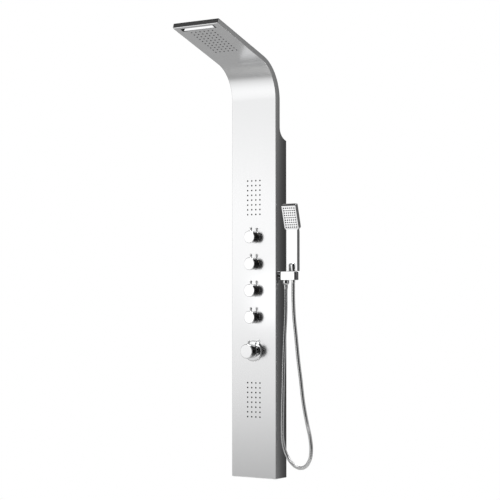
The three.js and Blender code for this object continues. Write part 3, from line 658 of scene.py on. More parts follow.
def combine(base, operation, *tools):
    """A bmesh cut by, or joined with, other bmeshes one after another."""
    result = solid_object(base)
    helpers = [solid_object(tool) for tool in tools]
    for helper in helpers:
        step = result.modifiers.new("combine", "BOOLEAN")
        step.operation = operation
        step.solver = "EXACT"
        step.object = helper
    graph = bpy.context.evaluated_depsgraph_get()
    mesh = bpy.data.meshes.new_from_object(result.evaluated_get(graph))
    shape = bmesh.new()
    shape.from_mesh(mesh)
    for item in (result, *helpers):
        bpy.data.objects.remove(item)
    bpy.data.meshes.remove(mesh)
    return shape


def ease_edges(shape, width, sharper_than=radians(40), segments=2):
    """Eases every edge sharper than an angle."""
    bmesh.ops.remove_doubles(shape, verts=shape.verts[:], dist=1e-6)
    edges = [
        e for e in shape.edges if len(e.link_faces) == 2 and e.calc_face_angle(0) > sharper_than
    ]
    bmesh.ops.bevel(
        shape, geom=edges, offset=width, segments=segments, profile=0.5, affect="EDGES",
        clamp_overlap=True,
    )
    return shape


def cad_shape(node, width=0.6 * MM):
    """A CAD node's own solid with its flat faces made whole and its edges eased."""
    shape = bmesh.new()
    shape.from_mesh(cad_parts[node].data)
    bmesh.ops.remove_doubles(shape, verts=shape.verts[:], dist=1e-6)
    bmesh.ops.dissolve_limit(
        shape, angle_limit=radians(1), verts=shape.verts[:], edges=shape.edges[:]
    )
    return ease_edges(shape, width)


# ---------------------------------------------------------------- the panel's side profile
def panel_point(along, depth):
    """(y, z) at a distance along the face from its bottom edge and a depth behind the face."""
    if along <= BEND_HEIGHT:
        return FACE_Y + depth, PANEL_LOW + along
    angle = min((along - BEND_HEIGHT) / BEND_RADIUS, BEND_TURN)
    straight = max(along - ARM_START, 0.0)
    radius = BEND_RADIUS + depth
    y = FACE_Y - BEND_RADIUS + radius * cos(angle) - straight * sin(angle)
    z = PANEL_LOW + BEND_HEIGHT + radius * sin(angle) + straight * cos(angle)
    return y, z


def flow_of(point):
    """(across, depth, along) of a point, the inverse of panel_point."""
    x, y, z = point
    rise = z - PANEL_LOW - BEND_HEIGHT
    if rise <= 0:
        return x, y - FACE_Y, z - PANEL_LOW
    ahead = y - (FACE_Y - BEND_RADIUS)
    angle = atan2(rise, ahead)
    if angle <= BEND_TURN:
        return x, hypot(rise, ahead) - BEND_RADIUS, BEND_HEIGHT + angle * BEND_RADIUS
    depth = ahead * cos(BEND_TURN) + rise * sin(BEND_TURN) - BEND_RADIUS
    return x, depth, ARM_START + rise * cos(BEND_TURN) - ahead * sin(BEND_TURN)


def store_flow(piece):
    """Stores the direction of the sheet's grain on a piece, as the attribute that its look reads."""
    spots = np.array([flow_of(vert.co) for vert in piece.data.vertices], np.float32)
    flow = piece.data.attributes.new("flow", "FLOAT_VECTOR", "POINT")
    flow.data.foreach_set("vector", spots.ravel())


ARM_PLACE = Matrix.Translation((0, *panel_point(FACE_LENGTH, 0))) @ Matrix.Rotation(-ARM_ANGLE, 4, "X")


def step_point(t):
    """(depth, height) on the concave step between the neck and the body."""
    top, low = (NECK_THICKNESS, STEP_TOP), (BODY_DEPTH, STEP_BOTTOM)
    bend = (NECK_THICKNESS + 0.004, STEP_TOP - 0.036)
    return [a * (1 - t) ** 2 + b * 2 * t * (1 - t) + c * t * t for a, b, c in zip(top, bend, low)]


def back_stations():
    """(along, back depth) pairs up the whole panel, without its two rounded ends."""
    stations = [(0.4, BODY_DEPTH), (0.9, BODY_DEPTH)]
    for i in range(STEP_STEPS, -1, -1):
        depth, height = step_point(i / STEP_STEPS)
        stations.append((height, depth))
    for i in range(BEND_STEPS + 1):
        bend = i / BEND_STEPS
        depth = NECK_THICKNESS + (ARM_THICKNESS - NECK_THICKNESS) * bend
        stations.append((BEND_HEIGHT + bend * (ARM_START - BEND_HEIGHT), depth))
    stations.append((ARM_START + ARM_LENGTH / 2, ARM_THICKNESS))
    return stations


def shell_stations(offset):
    """(along, back depth, inset) up the panel for the skin at an offset inside the sheet."""
    radius = FOLD_RADIUS - offset
    bottom, top = [], []
    for i in range(5):
        angle = pi / 2 * i / 4
        inset = offset + radius * (1 - cos(angle))
        reach = offset + radius * (1 - sin(angle))
        bottom.insert(0, (reach, BODY_DEPTH, inset))
        top.append((FACE_LENGTH - reach, ARM_THICKNESS, inset))
    return bottom + [(along, back, offset) for along, back in back_stations()] + top


def fold_section(back, inset):
    """(x, depth) points round the folded sheet, from one back edge to the other."""
    half = HALF_WIDTH - inset
    radius = FOLD_RADIUS - inset
    right = [(half, back), (half, inset + radius + (back - inset - radius) / 2)]
    for i in range(6):
        angle = pi / 2 * i / 5
        right.append((half - radius * (1 - cos(angle)), inset + radius * (1 - sin(angle))))
    return [(-x, depth) for x, depth in right] + list(reversed(right))


def panel_row(shape, along, section):
    """A row of vertices across the panel, from (x, depth) pairs."""
    return [shape.verts.new((x, *panel_point(along, depth))) for x, depth in section]


def add_grid(shape, rows):
    """Adds the faces between rows of vertices."""
    for low, high in zip(rows, rows[1:]):
        for i in range(len(low) - 1):
            shape.faces.new([low[i], low[i + 1], high[i + 1], high[i]])


def add_rim(shape, loop):
    """Adds the faces along a closed loop of vertex pairs."""
    for i, (a, b) in enumerate(loop):
        c, d = loop[(i + 1) % len(loop)]
        shape.faces.new([a, c, d, b])


def shell_skin(shape, offset):
    """One skin of the folded sheet, as rows of vertices."""
    rows = [
        panel_row(shape, along, fold_section(back, inset)) for along, back, inset in shell_stations(offset)
    ]
    add_grid(shape, rows)
    shape.faces.new(list(reversed(rows[0])))
    shape.faces.new(rows[-1])
    return rows


def shell_sheet():
    """The folded sheet with its two skins and the rim between them, before any hole."""
    shape = bmesh.new()
    outer, inner = shell_skin(shape, 0.0), shell_skin(shape, SHEET)
    edge = [(row[0], other[0]) for row, other in zip(outer, inner)]
    far = [(row[-1], other[-1]) for row, other in zip(outer, inner)]
    add_rim(shape, edge + list(reversed(far)))
    bmesh.ops.remove_doubles(shape, verts=shape.verts[:], dist=1e-7)
    return shape


def jet_centres(columns, rows):
    """(across, along) of a nozzle grid about its middle."""
    return [
        ((i - (columns - 1) / 2) * JET_PITCH, (j - (rows - 1) / 2) * JET_PITCH)
        for j in range(rows)
        for i in range(columns)
    ]


def nozzle_spots():
    """Every nozzle's place on the panel's skin and the direction it points in, by group."""
    spots = {}
    for place in ("upper", "lower"):
        centre = middle(f"{place}_jet_nozzle_mat")
        spots[place] = [
            (Vector((x, FACE_Y, centre.z + z)), FRONT) for x, z in jet_centres(4, 8)
        ]
    rain_middle = RAIN_FIRST_ROW + 4.5 * JET_PITCH
    down = (ARM_PLACE.to_3x3() @ -Z_AXIS).normalized()
    spots["rain"] = [
        (ARM_PLACE @ Vector((x, rain_middle + y, 0)), down) for x, y in jet_centres(6, 10)
    ]
    return spots


NOZZLES = nozzle_spots()


# Radii in millimetres.
DIVERTER_HOLE_RADIUS = 11.5
MIXER_HOLE_RADIUS = 21.5
STUB_HOLE_RADIUS = 9.6


def hole_tools():
    """Every round hole and the waterfall slot of the panel."""
    shape = bmesh.new()
    for place, toward in [spot for group in NOZZLES.values() for spot in group]:
        add_bar(shape, NOZZLE_HOLE_RADIUS / MM, -5, 3, place, toward, 20)
    for i in range(1, 5):
        add_bar(shape, DIVERTER_HOLE_RADIUS, -5, 5, on_face(f"diverter_spindle_{i}"), FRONT, 40)
    add_bar(shape, MIXER_HOLE_RADIUS, -5, 5, on_face("mixer_cartridge"), FRONT, 56)
    block = middle("holder_block")
    add_bar(shape, STUB_HOLE_RADIUS, -5, 5, Vector((HALF_WIDTH, block.y, block.z)), X_AXIS, 32)
    half, low, high = SLOT_HALF_LENGTH, SLOT_FROM_TIP, SLOT_FROM_TIP + SLOT_WIDTH
    outline = rounded([(-half, low), (half, low), (half, high), (-half, high)], SLOT_CORNER, closed=True)
    add_prism(shape, outline, -3 * MM, 5 * MM, ARM_PLACE, axis="Z")
    return shape


def add_bar(shape, radius, low, high, origin, axis, segments):
    """Adds a plain round bar, from its radius and ends in millimetres."""
    add_turned(shape, bar_profile(radius, low, high), origin, axis, segments=segments, ease=0.0)


def make_panel():
    """The folded panel with all its holes."""
    shape = combine(shell_sheet(), "DIFFERENCE", hole_tools())
    store_flow(add_piece("folded_panel", shape, "brushed_panel", "column", "front_shell"))


COVER_HALF = HALF_WIDTH - SHEET - GAP
PRESSED_FOOT = 80 * MM
PRESSED_TOP = 77.5 * MM
PRESSED_RISE = 0.7 * MM
COVER_SCREW_X = 88 * MM
COVER_SCREW_LINES = (1.37, 1.50, FACE_LENGTH - 0.26, FACE_LENGTH - 0.14, FACE_LENGTH - 0.022)


def cover_line(clear, arm_end):
    """(along, depth) pairs down the back of the arm, neck and step, moved inward by clear."""
    line = [(along, back - clear) for along, back in back_stations() if along > STEP_TOP + 0.001]
    line.append((arm_end, ARM_THICKNESS - clear))
    line.reverse()
    for i in range(STEP_STEPS):
        here, ahead = Vector(step_point(i / STEP_STEPS)), Vector(step_point((i + 1) / STEP_STEPS))
        toward = (ahead - here).normalized()
        depth, height = here - clear * Vector((-toward.y, toward.x))
        line.append((height, depth))
    return line


def make_rear_cover():
    """The cover behind the arm, neck and step: pressed sheet with a raised middle and its screws."""
    arm_end = FACE_LENGTH - SHEET - GAP
    inner, outer = cover_line(SHEET, arm_end), cover_line(0.0, arm_end)
    right = [(PRESSED_TOP, PRESSED_RISE), (PRESSED_FOOT, 0), (COVER_HALF, 0)]
    pressed = [(-x, rise) for x, rise in reversed(right)] + right
    shape = bmesh.new()
    skins = [
        [panel_row(shape, along, [(x, depth - lift * rise) for x, rise in pressed]) for along, depth in line]
        for line, lift in ((outer, 1), (inner, 0))
    ]
    for rows in skins:
        add_grid(shape, rows)
    top, under = skins
    loop = [(a[0], b[0]) for a, b in zip(top, under)]
    loop += list(zip(top[-1], under[-1]))[1:-1]
    loop += [(a[-1], b[-1]) for a, b in reversed(list(zip(top, under)))]
    loop += list(reversed(list(zip(top[0], under[0]))[1:-1]))
    add_rim(shape, loop)
    for along in COVER_SCREW_LINES:
        depth = np.interp(along, *zip(*back_stations()))
        y, z = panel_point(along, depth)
        ahead = Vector((0, *panel_point(along, depth + 1 * MM))) - Vector((0, y, z))
        for x in (-COVER_SCREW_X, COVER_SCREW_X):
            add_screw_head(shape, Vector((x, y, z)), ahead, 3.0, 0.3)
    store_flow(add_piece("rear_cover_sheet", shape, "brushed_panel", "column", "rear_cover"))


def add_screw_head(shape, place, toward, radius, proud):
    """Adds a low cross-head screw, in millimetres, with a sunk cross."""
    frame_here = axis_frame(place, toward)
    profile = [
        (0, -0.6), (radius, -0.6), (radius, proud * 0.4), (radius * 0.82, proud), (radius * 0.5, proud),
        (radius * 0.42, proud - 0.5), (0, proud - 0.5),
    ]
    add_turned(shape, profile, place, toward, segments=24, ease=0.12)
    for turn in (0, pi / 2):
        arm = frame_here @ Matrix.Rotation(turn, 4, "Z")
        half = Vector((radius * 0.40, radius * 0.09, 0.18)) * MM
        lift = Vector((0, 0, (proud - 0.42) * MM))
        add_box(shape, lift - half, lift + half, place=arm)


# ---------------------------------------------------------------- nozzles, chambers, waterfall
NOZZLE_PROFILE = [
    (0, -2.6), (1.1, -2.6), (1.1, -0.1), (1.3, 0.7), (1.65, 1.0), (2.0, 0.8), (2.45, -0.6), (2.6, -2.2),
    (3.4, -2.35), (3.4, -3.4), (0, -3.4),
]


def make_nozzles():
    """The soft nozzles, each with its bore, on the mats behind the panel."""
    mats = {"upper": "upper_jet_nozzle_mat", "lower": "lower_jet_nozzle_mat", "rain": "rain_nozzle_mat"}
    for group, node in mats.items():
        shape = bmesh.new()
        for place, toward in NOZZLES[group]:
            add_turned(shape, NOZZLE_PROFILE, place, toward, segments=16, ease=0.12)
        add_mat(shape, group, node)
        add_piece(f"{group}_nozzles", shape, "silicone", "column", node)


def add_mat(shape, group, node):
    """Adds the flat mat behind one group of nozzles."""
    front, back = SHEET + GAP, SHEET + GAP + 2.5 * MM
    if group == "rain":
        half_x, half_y = 2.5 * JET_PITCH + 12 * MM, 4.5 * JET_PITCH + 10 * MM
        centre = RAIN_FIRST_ROW + 4.5 * JET_PITCH
        near, far = centre - half_y, centre + half_y
        add_box(shape, (-half_x, near, front), (half_x, far, back), 0.5 * MM, ARM_PLACE)
        return
    low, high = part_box(node)
    add_box(shape, (low.x, FACE_Y + front, low.z), (high.x, FACE_Y + back, high.z), 0.5 * MM)


TRAY_MARGIN = 6 * MM
RIB_HALF = 1.1 * MM
RIB_EASE = 0.4 * MM


def make_jet_trays():
    """The water chambers behind the body jets, ribbed and screwed on at their corners."""
    for place in ("upper", "lower"):
        node = f"{place}_jet_chamber"
        low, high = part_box(node)
        left, right = low.x + TRAY_MARGIN, high.x - TRAY_MARGIN
        bottom, top = low.z + TRAY_MARGIN, high.z - TRAY_MARGIN
        foot, crest = high.y - 1 * MM, high.y + 3 * MM
        shape = cad_shape(node, 0.8 * MM)
        for i in range(1, 6):
            z = low.z + (high.z - low.z) * i / 6
            add_box(shape, (left, foot, z - RIB_HALF), (right, crest, z + RIB_HALF), RIB_EASE)
        for x in (-26 * MM, 26 * MM):
            add_box(shape, (x - RIB_HALF, foot, bottom), (x + RIB_HALF, crest, top), RIB_EASE)
        for x in (left, right):
            for z in (bottom, top):
                add_screw_head(shape, Vector((x, high.y, z)), Y_AXIS, 3.4, 2.2)
        add_piece(f"{place}_jet_tray", shape, "white_plastic", "column", node)


TROUGH_TOP = 9.5 * MM
TROUGH_LEAN = radians(34)


def make_waterfall():
    """The polished trough over the slot, with a leaning plate at its back and a dark baffle."""
    low, high = SLOT_FROM_TIP, SLOT_FROM_TIP + SLOT_WIDTH
    left, right = -SLOT_HALF_LENGTH - 20 * MM, SLOT_HALF_LENGTH + 14 * MM
    base = bmesh.new()
    near = (left, low - 5 * MM, SHEET + GAP)
    add_box(base, near, (right, high + 3 * MM, HEAD_ROOM), 0.8 * MM, ARM_PLACE)
    lean = (TROUGH_TOP - SHEET - GAP) * tan(TROUGH_LEAN)
    front, back = low - 2 * MM, high - 0.2 * MM
    hollow = [
        (front, 0), (back, 0), (back, SHEET + GAP), (back - lean, TROUGH_TOP), (low + 3 * MM, TROUGH_TOP),
        (front, 7 * MM),
    ]
    tool = bmesh.new()
    outline = rounded(hollow, 0.8 * MM, closed=True)
    add_prism(tool, outline, left + 2 * MM, right - 8 * MM, ARM_PLACE)
    trough = combine(base, "DIFFERENCE", tool)
    add_piece("waterfall_trough", trough, "chrome", "column", "waterfall_spout")
    baffle = bmesh.new()
    near = (SLOT_HALF_LENGTH - 8 * MM, low + 1 * MM, 0.8 * MM)
    far = (SLOT_HALF_LENGTH - GAP, high - 2 * GAP, TROUGH_TOP - 1 * MM)
    add_box(baffle, near, far, 0.3 * MM, ARM_PLACE)
    add_piece("waterfall_baffle", baffle, "silicone", "column", "waterfall_spout")


# ---------------------------------------------------------------- diverters and mixer
KNOB_PROFILE = [
    (0, 34), (12, 34), (22.4, 33.95), (24, 32.4), (24, 3.4), (23.4, 2.6), (20.9, 2.6), (20.5, 3.2),
    (20.5, 28), (7.5, 28), (7.5, 10), (4.3, 10), (4.3, 23), (0, 23),
]
HANDLE_PROFILE = [
    (0, 54.3), (14, 54.3), (25.4, 54.25), (27.25, 52.4), (27.25, 18.8), (26.6, 18), (23.9, 18),
    (23.5, 18.6), (23.5, 49), (8, 49), (8, 24), (4.3, 24), (4.3, 41), (0, 41),
]
SLEEVE_PROFILE = [
    (0, -31.7), (12.9, -31.7), (12.9, -5.7), (16, -5.7), (16, -2.4), (11, -2.4), (11, 8), (4.3, 8),
    (4.3, -10), (0, -10),
]
ESCUTCHEON_PROFILE = [
    (21.2, 0.3), (39.4, 0.3), (40, 0.9), (39.9, 4.2), (38.7, 6.4), (36.4, 7.3), (30, 8.2), (24, 9.0),
    (21.2, 9.2),
]
BONNET_PROFILE = [
    (20.7, -9.7), (20.7, 11.2), (19.8, 13.2), (16, 15.8), (10.5, 17.8), (8.6, 18.2), (8.6, 16.2),
    (13.5, 13.5), (17.4, 10.5), (18.5, 8.5), (18.5, -9.7),
]
KNOB_RADIUS = 24
HANDLE_RADIUS = 27.25


def peg_profile(radius):
    """The rounded lever peg on a knob's rim, from the knob's radius."""
    ahead = [(0, -3), (2, -3), (2, 0.35), (3.0, 0.45), (3.1, 3.0), (3.7, 5.6), (4.6, 8.2), (4.8, 10.2)]
    tip = [(4.3, 12.4), (3.0, 13.9), (1.5, 14.5), (0, 14.6)]
    return [(r, radius + d) for r, d in ahead + tip]


def add_peg(name, node, body, origin, radius):
    """A lever peg that stands on the rim of a round knob."""
    place = Vector((origin.x, middle(node).y, origin.z))
    add_turned_piece(name, node, "chrome", body, peg_profile(radius), place, Z_AXIS, segments=28, ease=0.8)


def make_diverters():
    """Four knobs with their lever pegs, spindles and brass sleeves."""
    for i in range(1, 5):
        origin = on_face(f"diverter_spindle_{i}")
        body = f"diverter_{i}"
        add_turned_piece(f"knob_{i}", f"diverter_knob_{i}", "chrome", body, KNOB_PROFILE, origin,
                         segments=72, ease=0.9)
        add_peg(f"lever_peg_{i}", f"diverter_lever_{i}", body, origin, KNOB_RADIUS)
        add_turned_piece(f"spindle_{i}", f"diverter_spindle_{i}", "brass", body,
                         bar_profile(4, -9.7, 22.7), origin, segments=24, ease=0.4)
        add_turned_piece(f"diverter_sleeve_{i}", f"diverter_cartridge_{i}", "brass", "column",
                         SLEEVE_PROFILE, origin, segments=36, ease=0.5)


def make_mixer():
    """The mixer: escutcheon, bonnet, handle with its peg, and what is inside."""
    origin = on_face("mixer_cartridge")
    add_turned_piece("escutcheon", "mixer_escutcheon", "chrome", "column", ESCUTCHEON_PROFILE, origin,
                     segments=96, ease=1.2, closed=True)
    add_turned_piece("bonnet", "mixer_bonnet", "chrome", "column", BONNET_PROFILE, origin,
                     segments=72, ease=1.2, closed=True)
    add_turned_piece("mixing_cartridge", "mixer_cartridge", "grey_plastic", "column",
                     bar_profile(18.2, -33.7, 5), origin, segments=48, ease=0.6)
    add_turned_piece("swivel_collar", "mixer_swivel_collar", "grey_plastic", "mixer_turn",
                     bar_profile(11, 5.4, 9.6), origin, segments=40, ease=0.5)
    add_turned_piece("lever_stem", "mixer_lever_stem", "brass", "mixer_lift",
                     bar_profile(4, 11.5, 40.7), origin, segments=24, ease=0.5)
    add_turned_piece("handle_cap", "mixer_handle", "chrome", "mixer_lift", HANDLE_PROFILE, origin,
                     segments=84, ease=1.0)
    add_peg("handle_peg", "mixer_lever", "mixer_lift", origin, HANDLE_RADIUS)


def add_hex(shape, place, axis, corner_radius, low, high, ease=0.5):
    """Adds a six-sided nut with eased edges, in millimetres, from its corners' distance to the axis."""
    turns = [pi * k / 3 for k in range(6)]
    outline = millimetres([(corner_radius * cos(turn), corner_radius * sin(turn)) for turn in turns])
    nut = add_prism(shape, outline, low * MM, high * MM, axis_frame(place, axis), axis="Z")
    edges = list({edge for vert in nut for edge in vert.link_edges})
    bmesh.ops.bevel(shape, geom=edges, offset=ease * MM, segments=2, profile=0.5, affect="EDGES")


def make_valve_bodies():
    """The brass manifold and the mixer's body, with their bolts and plugs."""
    shape = cad_shape("diverter_manifold", 1.2 * MM)
    low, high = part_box("diverter_manifold")
    centre_x = (low.x + high.x) / 2
    for i in range(1, 5):
        spot = middle(f"diverter_spindle_{i}")
        add_hex(shape, Vector((centre_x, high.y, spot.z)), Y_AXIS, 11, -1, 3.2)
    for z in (low.z + 12 * MM, (low.z + high.z) / 2, high.z - 12 * MM):
        for x in (low.x + 7 * MM, high.x - 7 * MM):
            add_screw_head(shape, Vector((x, high.y, z)), Y_AXIS, 3.4, 2.0)
    add_piece("valve_manifold", shape, "brass", "column", "diverter_manifold")
    shape = cad_shape("mixer_body", 0.8 * MM)
    origin = on_face("mixer_cartridge")
    add_hex(shape, origin, Y_AXIS, 14, 43, 47)
    add_piece("mixer_casting", shape, "brass", "column", "mixer_body")


def thread_profile(radius, low, high, pitch=1.8):
    """The zigzag of a screw thread along a turned piece."""
    count = int((high - low) / pitch)
    points = []
    for i in range(count):
        start = low + i * pitch
        points += [(radius, start), (radius - 0.85, start + pitch / 2)]
    return points + [(radius, high)]


def make_inlets():
    """The two threaded inlets that point down."""
    for node in ("hot_inlet", "cold_inlet"):
        spot = middle(node)
        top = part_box(node)[1].z
        origin = Vector((spot.x, spot.y, top))
        shape = bmesh.new()
        profile = [(0, 0), (9, 0), (10.4, -14)] + [(r, -d) for r, d in thread_profile(10.4, 16, 38.4)]
        profile += [(7.4, -38.6), (7.4, -5), (0, -5)]
        add_turned(shape, profile, origin, Z_AXIS, segments=40, ease=0.15)
        add_hex(shape, origin, Z_AXIS, 13.5, -12.5, -0.5)
        add_piece(f"threaded_{node}", shape, "brass", "column", node)


# ---------------------------------------------------------------- hanging hardware
def make_wall_hardware():
    """Wall plates, the bars that hook over them, and their screws."""
    for place in ("upper", "lower"):
        add_cad_piece(f"wall_bracket_{place}", f"wall_plate_{place}", "zinc_plate", 0.35 * MM)
        add_cad_piece(f"hook_bar_{place}", f"hanger_{place}", "zinc_plate", 0.5 * MM)
        for side in ("left", "right"):
            node = f"wall_screw_{place}_{side}"
            spot = middle(node)
            origin = Vector((spot.x, 0, spot.z))
            shape = turned(bar_profile(2.4, 0.2, 3.4), origin, FRONT, segments=24, ease=0.1)
            add_screw_head(shape, Vector((spot.x, -3.9 * MM, spot.z)), FRONT, 4.8, 2.5)
            add_piece(f"wall_screw_head_{place}_{side}", shape, "zinc_plate", "column", node)


# ---------------------------------------------------------------- pipes
def smooth_line(points, spacing):
    """Points a spacing apart on the centripetal curve through the points."""
    ends = [points[0] * 2 - points[1], *points, points[-1] * 2 - points[-2]]
    line = [points[0]]
    for a, b, c, d in zip(ends, ends[1:], ends[2:], ends[3:]):
        t0 = 0.0
        t1 = t0 + (b - a).length ** 0.5
        t2 = t1 + (c - b).length ** 0.5
        t3 = t2 + (d - c).length ** 0.5
        count = max(2, round((c - b).length / spacing))
        for k in range(1, count + 1):
            t = t1 + (t2 - t1) * k / count
            a1 = a * ((t1 - t) / (t1 - t0)) + b * ((t - t0) / (t1 - t0))
            a2 = b * ((t2 - t) / (t2 - t1)) + c * ((t - t1) / (t2 - t1))
            a3 = c * ((t3 - t) / (t3 - t2)) + d * ((t - t2) / (t3 - t2))
            b1 = a1 * ((t2 - t) / (t2 - t0)) + a2 * ((t - t0) / (t2 - t0))
            b2 = a2 * ((t3 - t) / (t3 - t1)) + a3 * ((t - t1) / (t3 - t1))
            line.append(b1 * ((t2 - t) / (t2 - t1)) + b2 * ((t - t1) / (t2 - t1)))
    return line


def add_tube(shape, line, radii, sides):
    """Adds a tube along a line, with a radius for each point."""
    tangents = [(b - a).normalized() for a, b in zip(line, line[1:])]
    tangents.append(tangents[-1])
    across = tangents[0].orthogonal().normalized()
    rings = []
    for i, (point, radius) in enumerate(zip(line, radii)):
        tangent = (tangents[max(i - 1, 0)] + tangents[i]).normalized()
        across = (across - tangent * across.dot(tangent)).normalized()
        beside = tangent.cross(across)
        ring = []
        for k in range(sides):
            angle = 2 * pi * k / sides
            ring.append(shape.verts.new(point + (across * cos(angle) + beside * sin(angle)) * radius))
        rings.append(ring)
    for low, high in zip(rings, rings[1:]):
        join_rings(shape, low, high)
    shape.faces.new(rings[0])
    shape.faces.new(list(reversed(rings[-1])))


def along_neck_and_arm(x, from_tip):
    """A pipe's points through the neck, the bend and the arm, to a distance from the tip."""
    points = [at(x, -62, height) for height in (1350, 1400, 1444)]
    for bend in (0.2, 0.4, 0.6, 0.8, 1.0):
        along = BEND_HEIGHT + bend * (ARM_START - BEND_HEIGHT)
        points.append(Vector((x * MM, *panel_point(along, (14 - 4.8 * bend) * MM))))
    straight = ARM_LENGTH - from_tip
    for share in (0.5, 1.0):
        points.append(Vector((x * MM, *panel_point(ARM_START + straight * share, 9.2 * MM))))
    return points


def make_pipes():
    """The pipes between the valves and the outlets, each with a nut at both ends."""
    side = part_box("diverter_manifold")[1].x / MM + 1
    top = (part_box("diverter_manifold")[1].z - PANEL_LOW) / MM + 1
    upper_end = (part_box("upper_jet_chamber")[0].z - PANEL_LOW) / MM - 1
    lower_end = (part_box("lower_jet_chamber")[1].z - PANEL_LOW) / MM + 1
    block = middle("holder_block")
    block_height = (block.z - PANEL_LOW) / MM
    rain_end = RAIN_FIRST_ROW + 9 * JET_PITCH + 15 * MM
    fall_end = SLOT_FROM_TIP + SLOT_WIDTH + 4 * MM
    routes = {
        "rain_pipe": (5.5, [at(-11, -54, top), at(-11, -53, 960), at(-11, -38, 985), at(-11, -31, 1015),
                            at(-11, -31, 1120), at(-11, -33, 1200), at(-11, -45, 1250), at(-11, -59, 1300),
                            *along_neck_and_arm(-11, rain_end)]),
        "waterfall_pipe": (4.5, [at(11, -54, top), at(11, -53, 960), at(14, -38, 985), at(28, -31, 1030),
                                 at(56, -31, 1110), at(76, -33, 1200), at(78, -45, 1250), at(78, -59, 1300),
                                 *along_neck_and_arm(78, fall_end)]),
        "upper_jet_pipe": (5, [at(side, -54, 866), at(38, -54, 868), at(50, -55, 890), at(48, -58, 928),
                               at(34, -61, 955), at(25, -62, 970), at(25, -62, upper_end)]),
        "lower_jet_pipe": (5, [at(side, -54, 660), at(40, -54, 658), at(62, -54, 630), at(72, -53, 560),
                               at(72, -53, 470), at(60, -56, 420), at(36, -61, 400), at(26, -62, 391),
                               at(25, -62, lower_end)]),
        "handset_pipe": (5, [at(side, -54, 760), at(38, -54, 760), at(58, -50, 763), at(74, -44, 767),
                             at(87, block.y / MM, block_height)]),
        "mixed_water_pipe": (7, [at(0, -54, 508.4), at(0, -54, 546), at(0, -54, 584.7)]),
    }
    for name, (radius, points) in routes.items():
        line = smooth_line(points, 8 * MM)
        shape = bmesh.new()
        add_tube(shape, line, [radius * MM] * len(line), 20)
        for end, inward in ((line[0], line[1]), (line[-1], line[-2])):
            add_hex(shape, end, inward - end, radius + 3, 0.2, 8, 0.4)
            collar = [(radius, 8), (radius + 1.6, 8), (radius + 1.1, 12), (radius, 12.6)]
            add_turned(shape, collar, end, inward - end, segments=24, ease=0.3, closed=True)
        add_piece(f"{name}_run", shape, "water_pipe", "column", name)


# ---------------------------------------------------------------- holder and hand shower
CRADLE = Vector((middle("hose_cone_nut").x, middle("hose_cone_nut").y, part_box("holder_block")[1].z))
OUTLET = Vector((middle("hose_outlet_nut").x, middle("hose_outlet_nut").y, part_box("holder_block")[0].z))
BLOCK_START = 106.5 * MM
STUB_RADIUS = 9
STUB_START, STUB_END = 88, 108.5


def make_holder():
    """The block at the panel's side, bored and slotted for the hand shower, with its liner."""
    low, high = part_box("holder_block")
    shape = bmesh.new()
    add_box(shape, (BLOCK_START, low.y, low.z), high, 1.0 * MM, segments=3)
    stub = bmesh.new()
    centre = Vector((0, (low.y + high.y) / 2, (low.z + high.z) / 2))
    add_bar(stub, STUB_RADIUS, STUB_START, STUB_END, centre, X_AXIS, 32)
    bore = bmesh.new()
    drop = (CRADLE.z - low.z) / MM
    profile = [(0, -drop - 4), (13.4, -drop - 1), (12.5, -drop + 0.5), (12.5, -0.5), (13.4, 1), (0, 4)]
    add_turned(bore, profile, CRADLE, Z_AXIS, segments=48, ease=0.0)
    slot = bmesh.new()
    half = 8 * MM
    add_box(slot, (CRADLE.x, CRADLE.y - half, low.z - 0.01), (high.x + 0.01, CRADLE.y + half, high.z + 0.01))
    joined = combine(shape, "UNION", stub)
    add_piece("holder", combine(joined, "DIFFERENCE", bore, slot), "chrome", "column", "holder_block")
    add_cad_piece("cradle_bush", "cradle_liner", "grey_plastic", 0.25 * MM)


HEAD_FOOT = Vector((0, -9.5 * MM, 157 * MM))
HEAD_LEAN = radians(16)
HEAD_PLACE = Matrix.Translation(CRADLE) @ Matrix.Translation(HEAD_FOOT) @ Matrix.Rotation(HEAD_LEAN, 4, "X")
HANDLE_PLACE = Matrix.Translation(CRADLE)
# Sizes on the hand shower, in millimetres.
HANDLE_HALF = 23.75
HEAD_HALF = 31
HEAD_LENGTH = 98.5
HEAD_THICKNESS = 18.5
POCKET_HALF, POCKET_LOW, POCKET_HIGH = 27.8, 4.8, 91.5
WINDOW_HALF, WINDOW_LOW, WINDOW_HIGH = 25.7, 6.8, 88.5
CLEAR = 0.3
SPRAY_COLUMNS, SPRAY_ROWS = 6, 9
SPRAY_COLUMN_PITCH, SPRAY_ROW_PITCH = 8.9, 9.2
SPRAY_NUB_PROFILE = [
    (0, -0.6), (0.5, -0.6), (0.5, 0.6), (0.9, 0.9), (2.2, 0.7), (2.9, 0.1), (3.0, -0.6), (0, -0.9),
]


def handset_solid():
    """The handle and the leaning head as one eased solid, before its pocket and arch."""
    side = [(-9, 0.8), (9, 0.8), (9, 148), (6.8, 163), (0, 180), (-10, 176), (-9, 157)]
    handle = bmesh.new()
    add_prism(handle, millimetres(side), -HANDLE_HALF * MM, HANDLE_HALF * MM, HANDLE_PLACE)
    ease_edges(handle, 1.6 * MM, radians(50), 3)
    head = bmesh.new()
    outline = [
        (-24, 0), (24, 0), (HEAD_HALF, 6), (HEAD_HALF, HEAD_LENGTH),
        (-HEAD_HALF, HEAD_LENGTH), (-HEAD_HALF, 6),
    ]
    eased = rounded(millimetres(outline), 3 * MM, closed=True, steps=4)
    add_prism(head, eased, 0, HEAD_THICKNESS * MM, HEAD_PLACE, axis="Y")
    chamfer = bmesh.new()
    cut = [(-1, 92.2), (-1, 99.5), (6.2, 99.5)]
    add_prism(chamfer, millimetres(cut), -40 * MM, 40 * MM, HEAD_PLACE)
    head = ease_edges(combine(head, "DIFFERENCE", chamfer), 0.8 * MM, radians(35), 3)
    return combine(handle, "UNION", head)


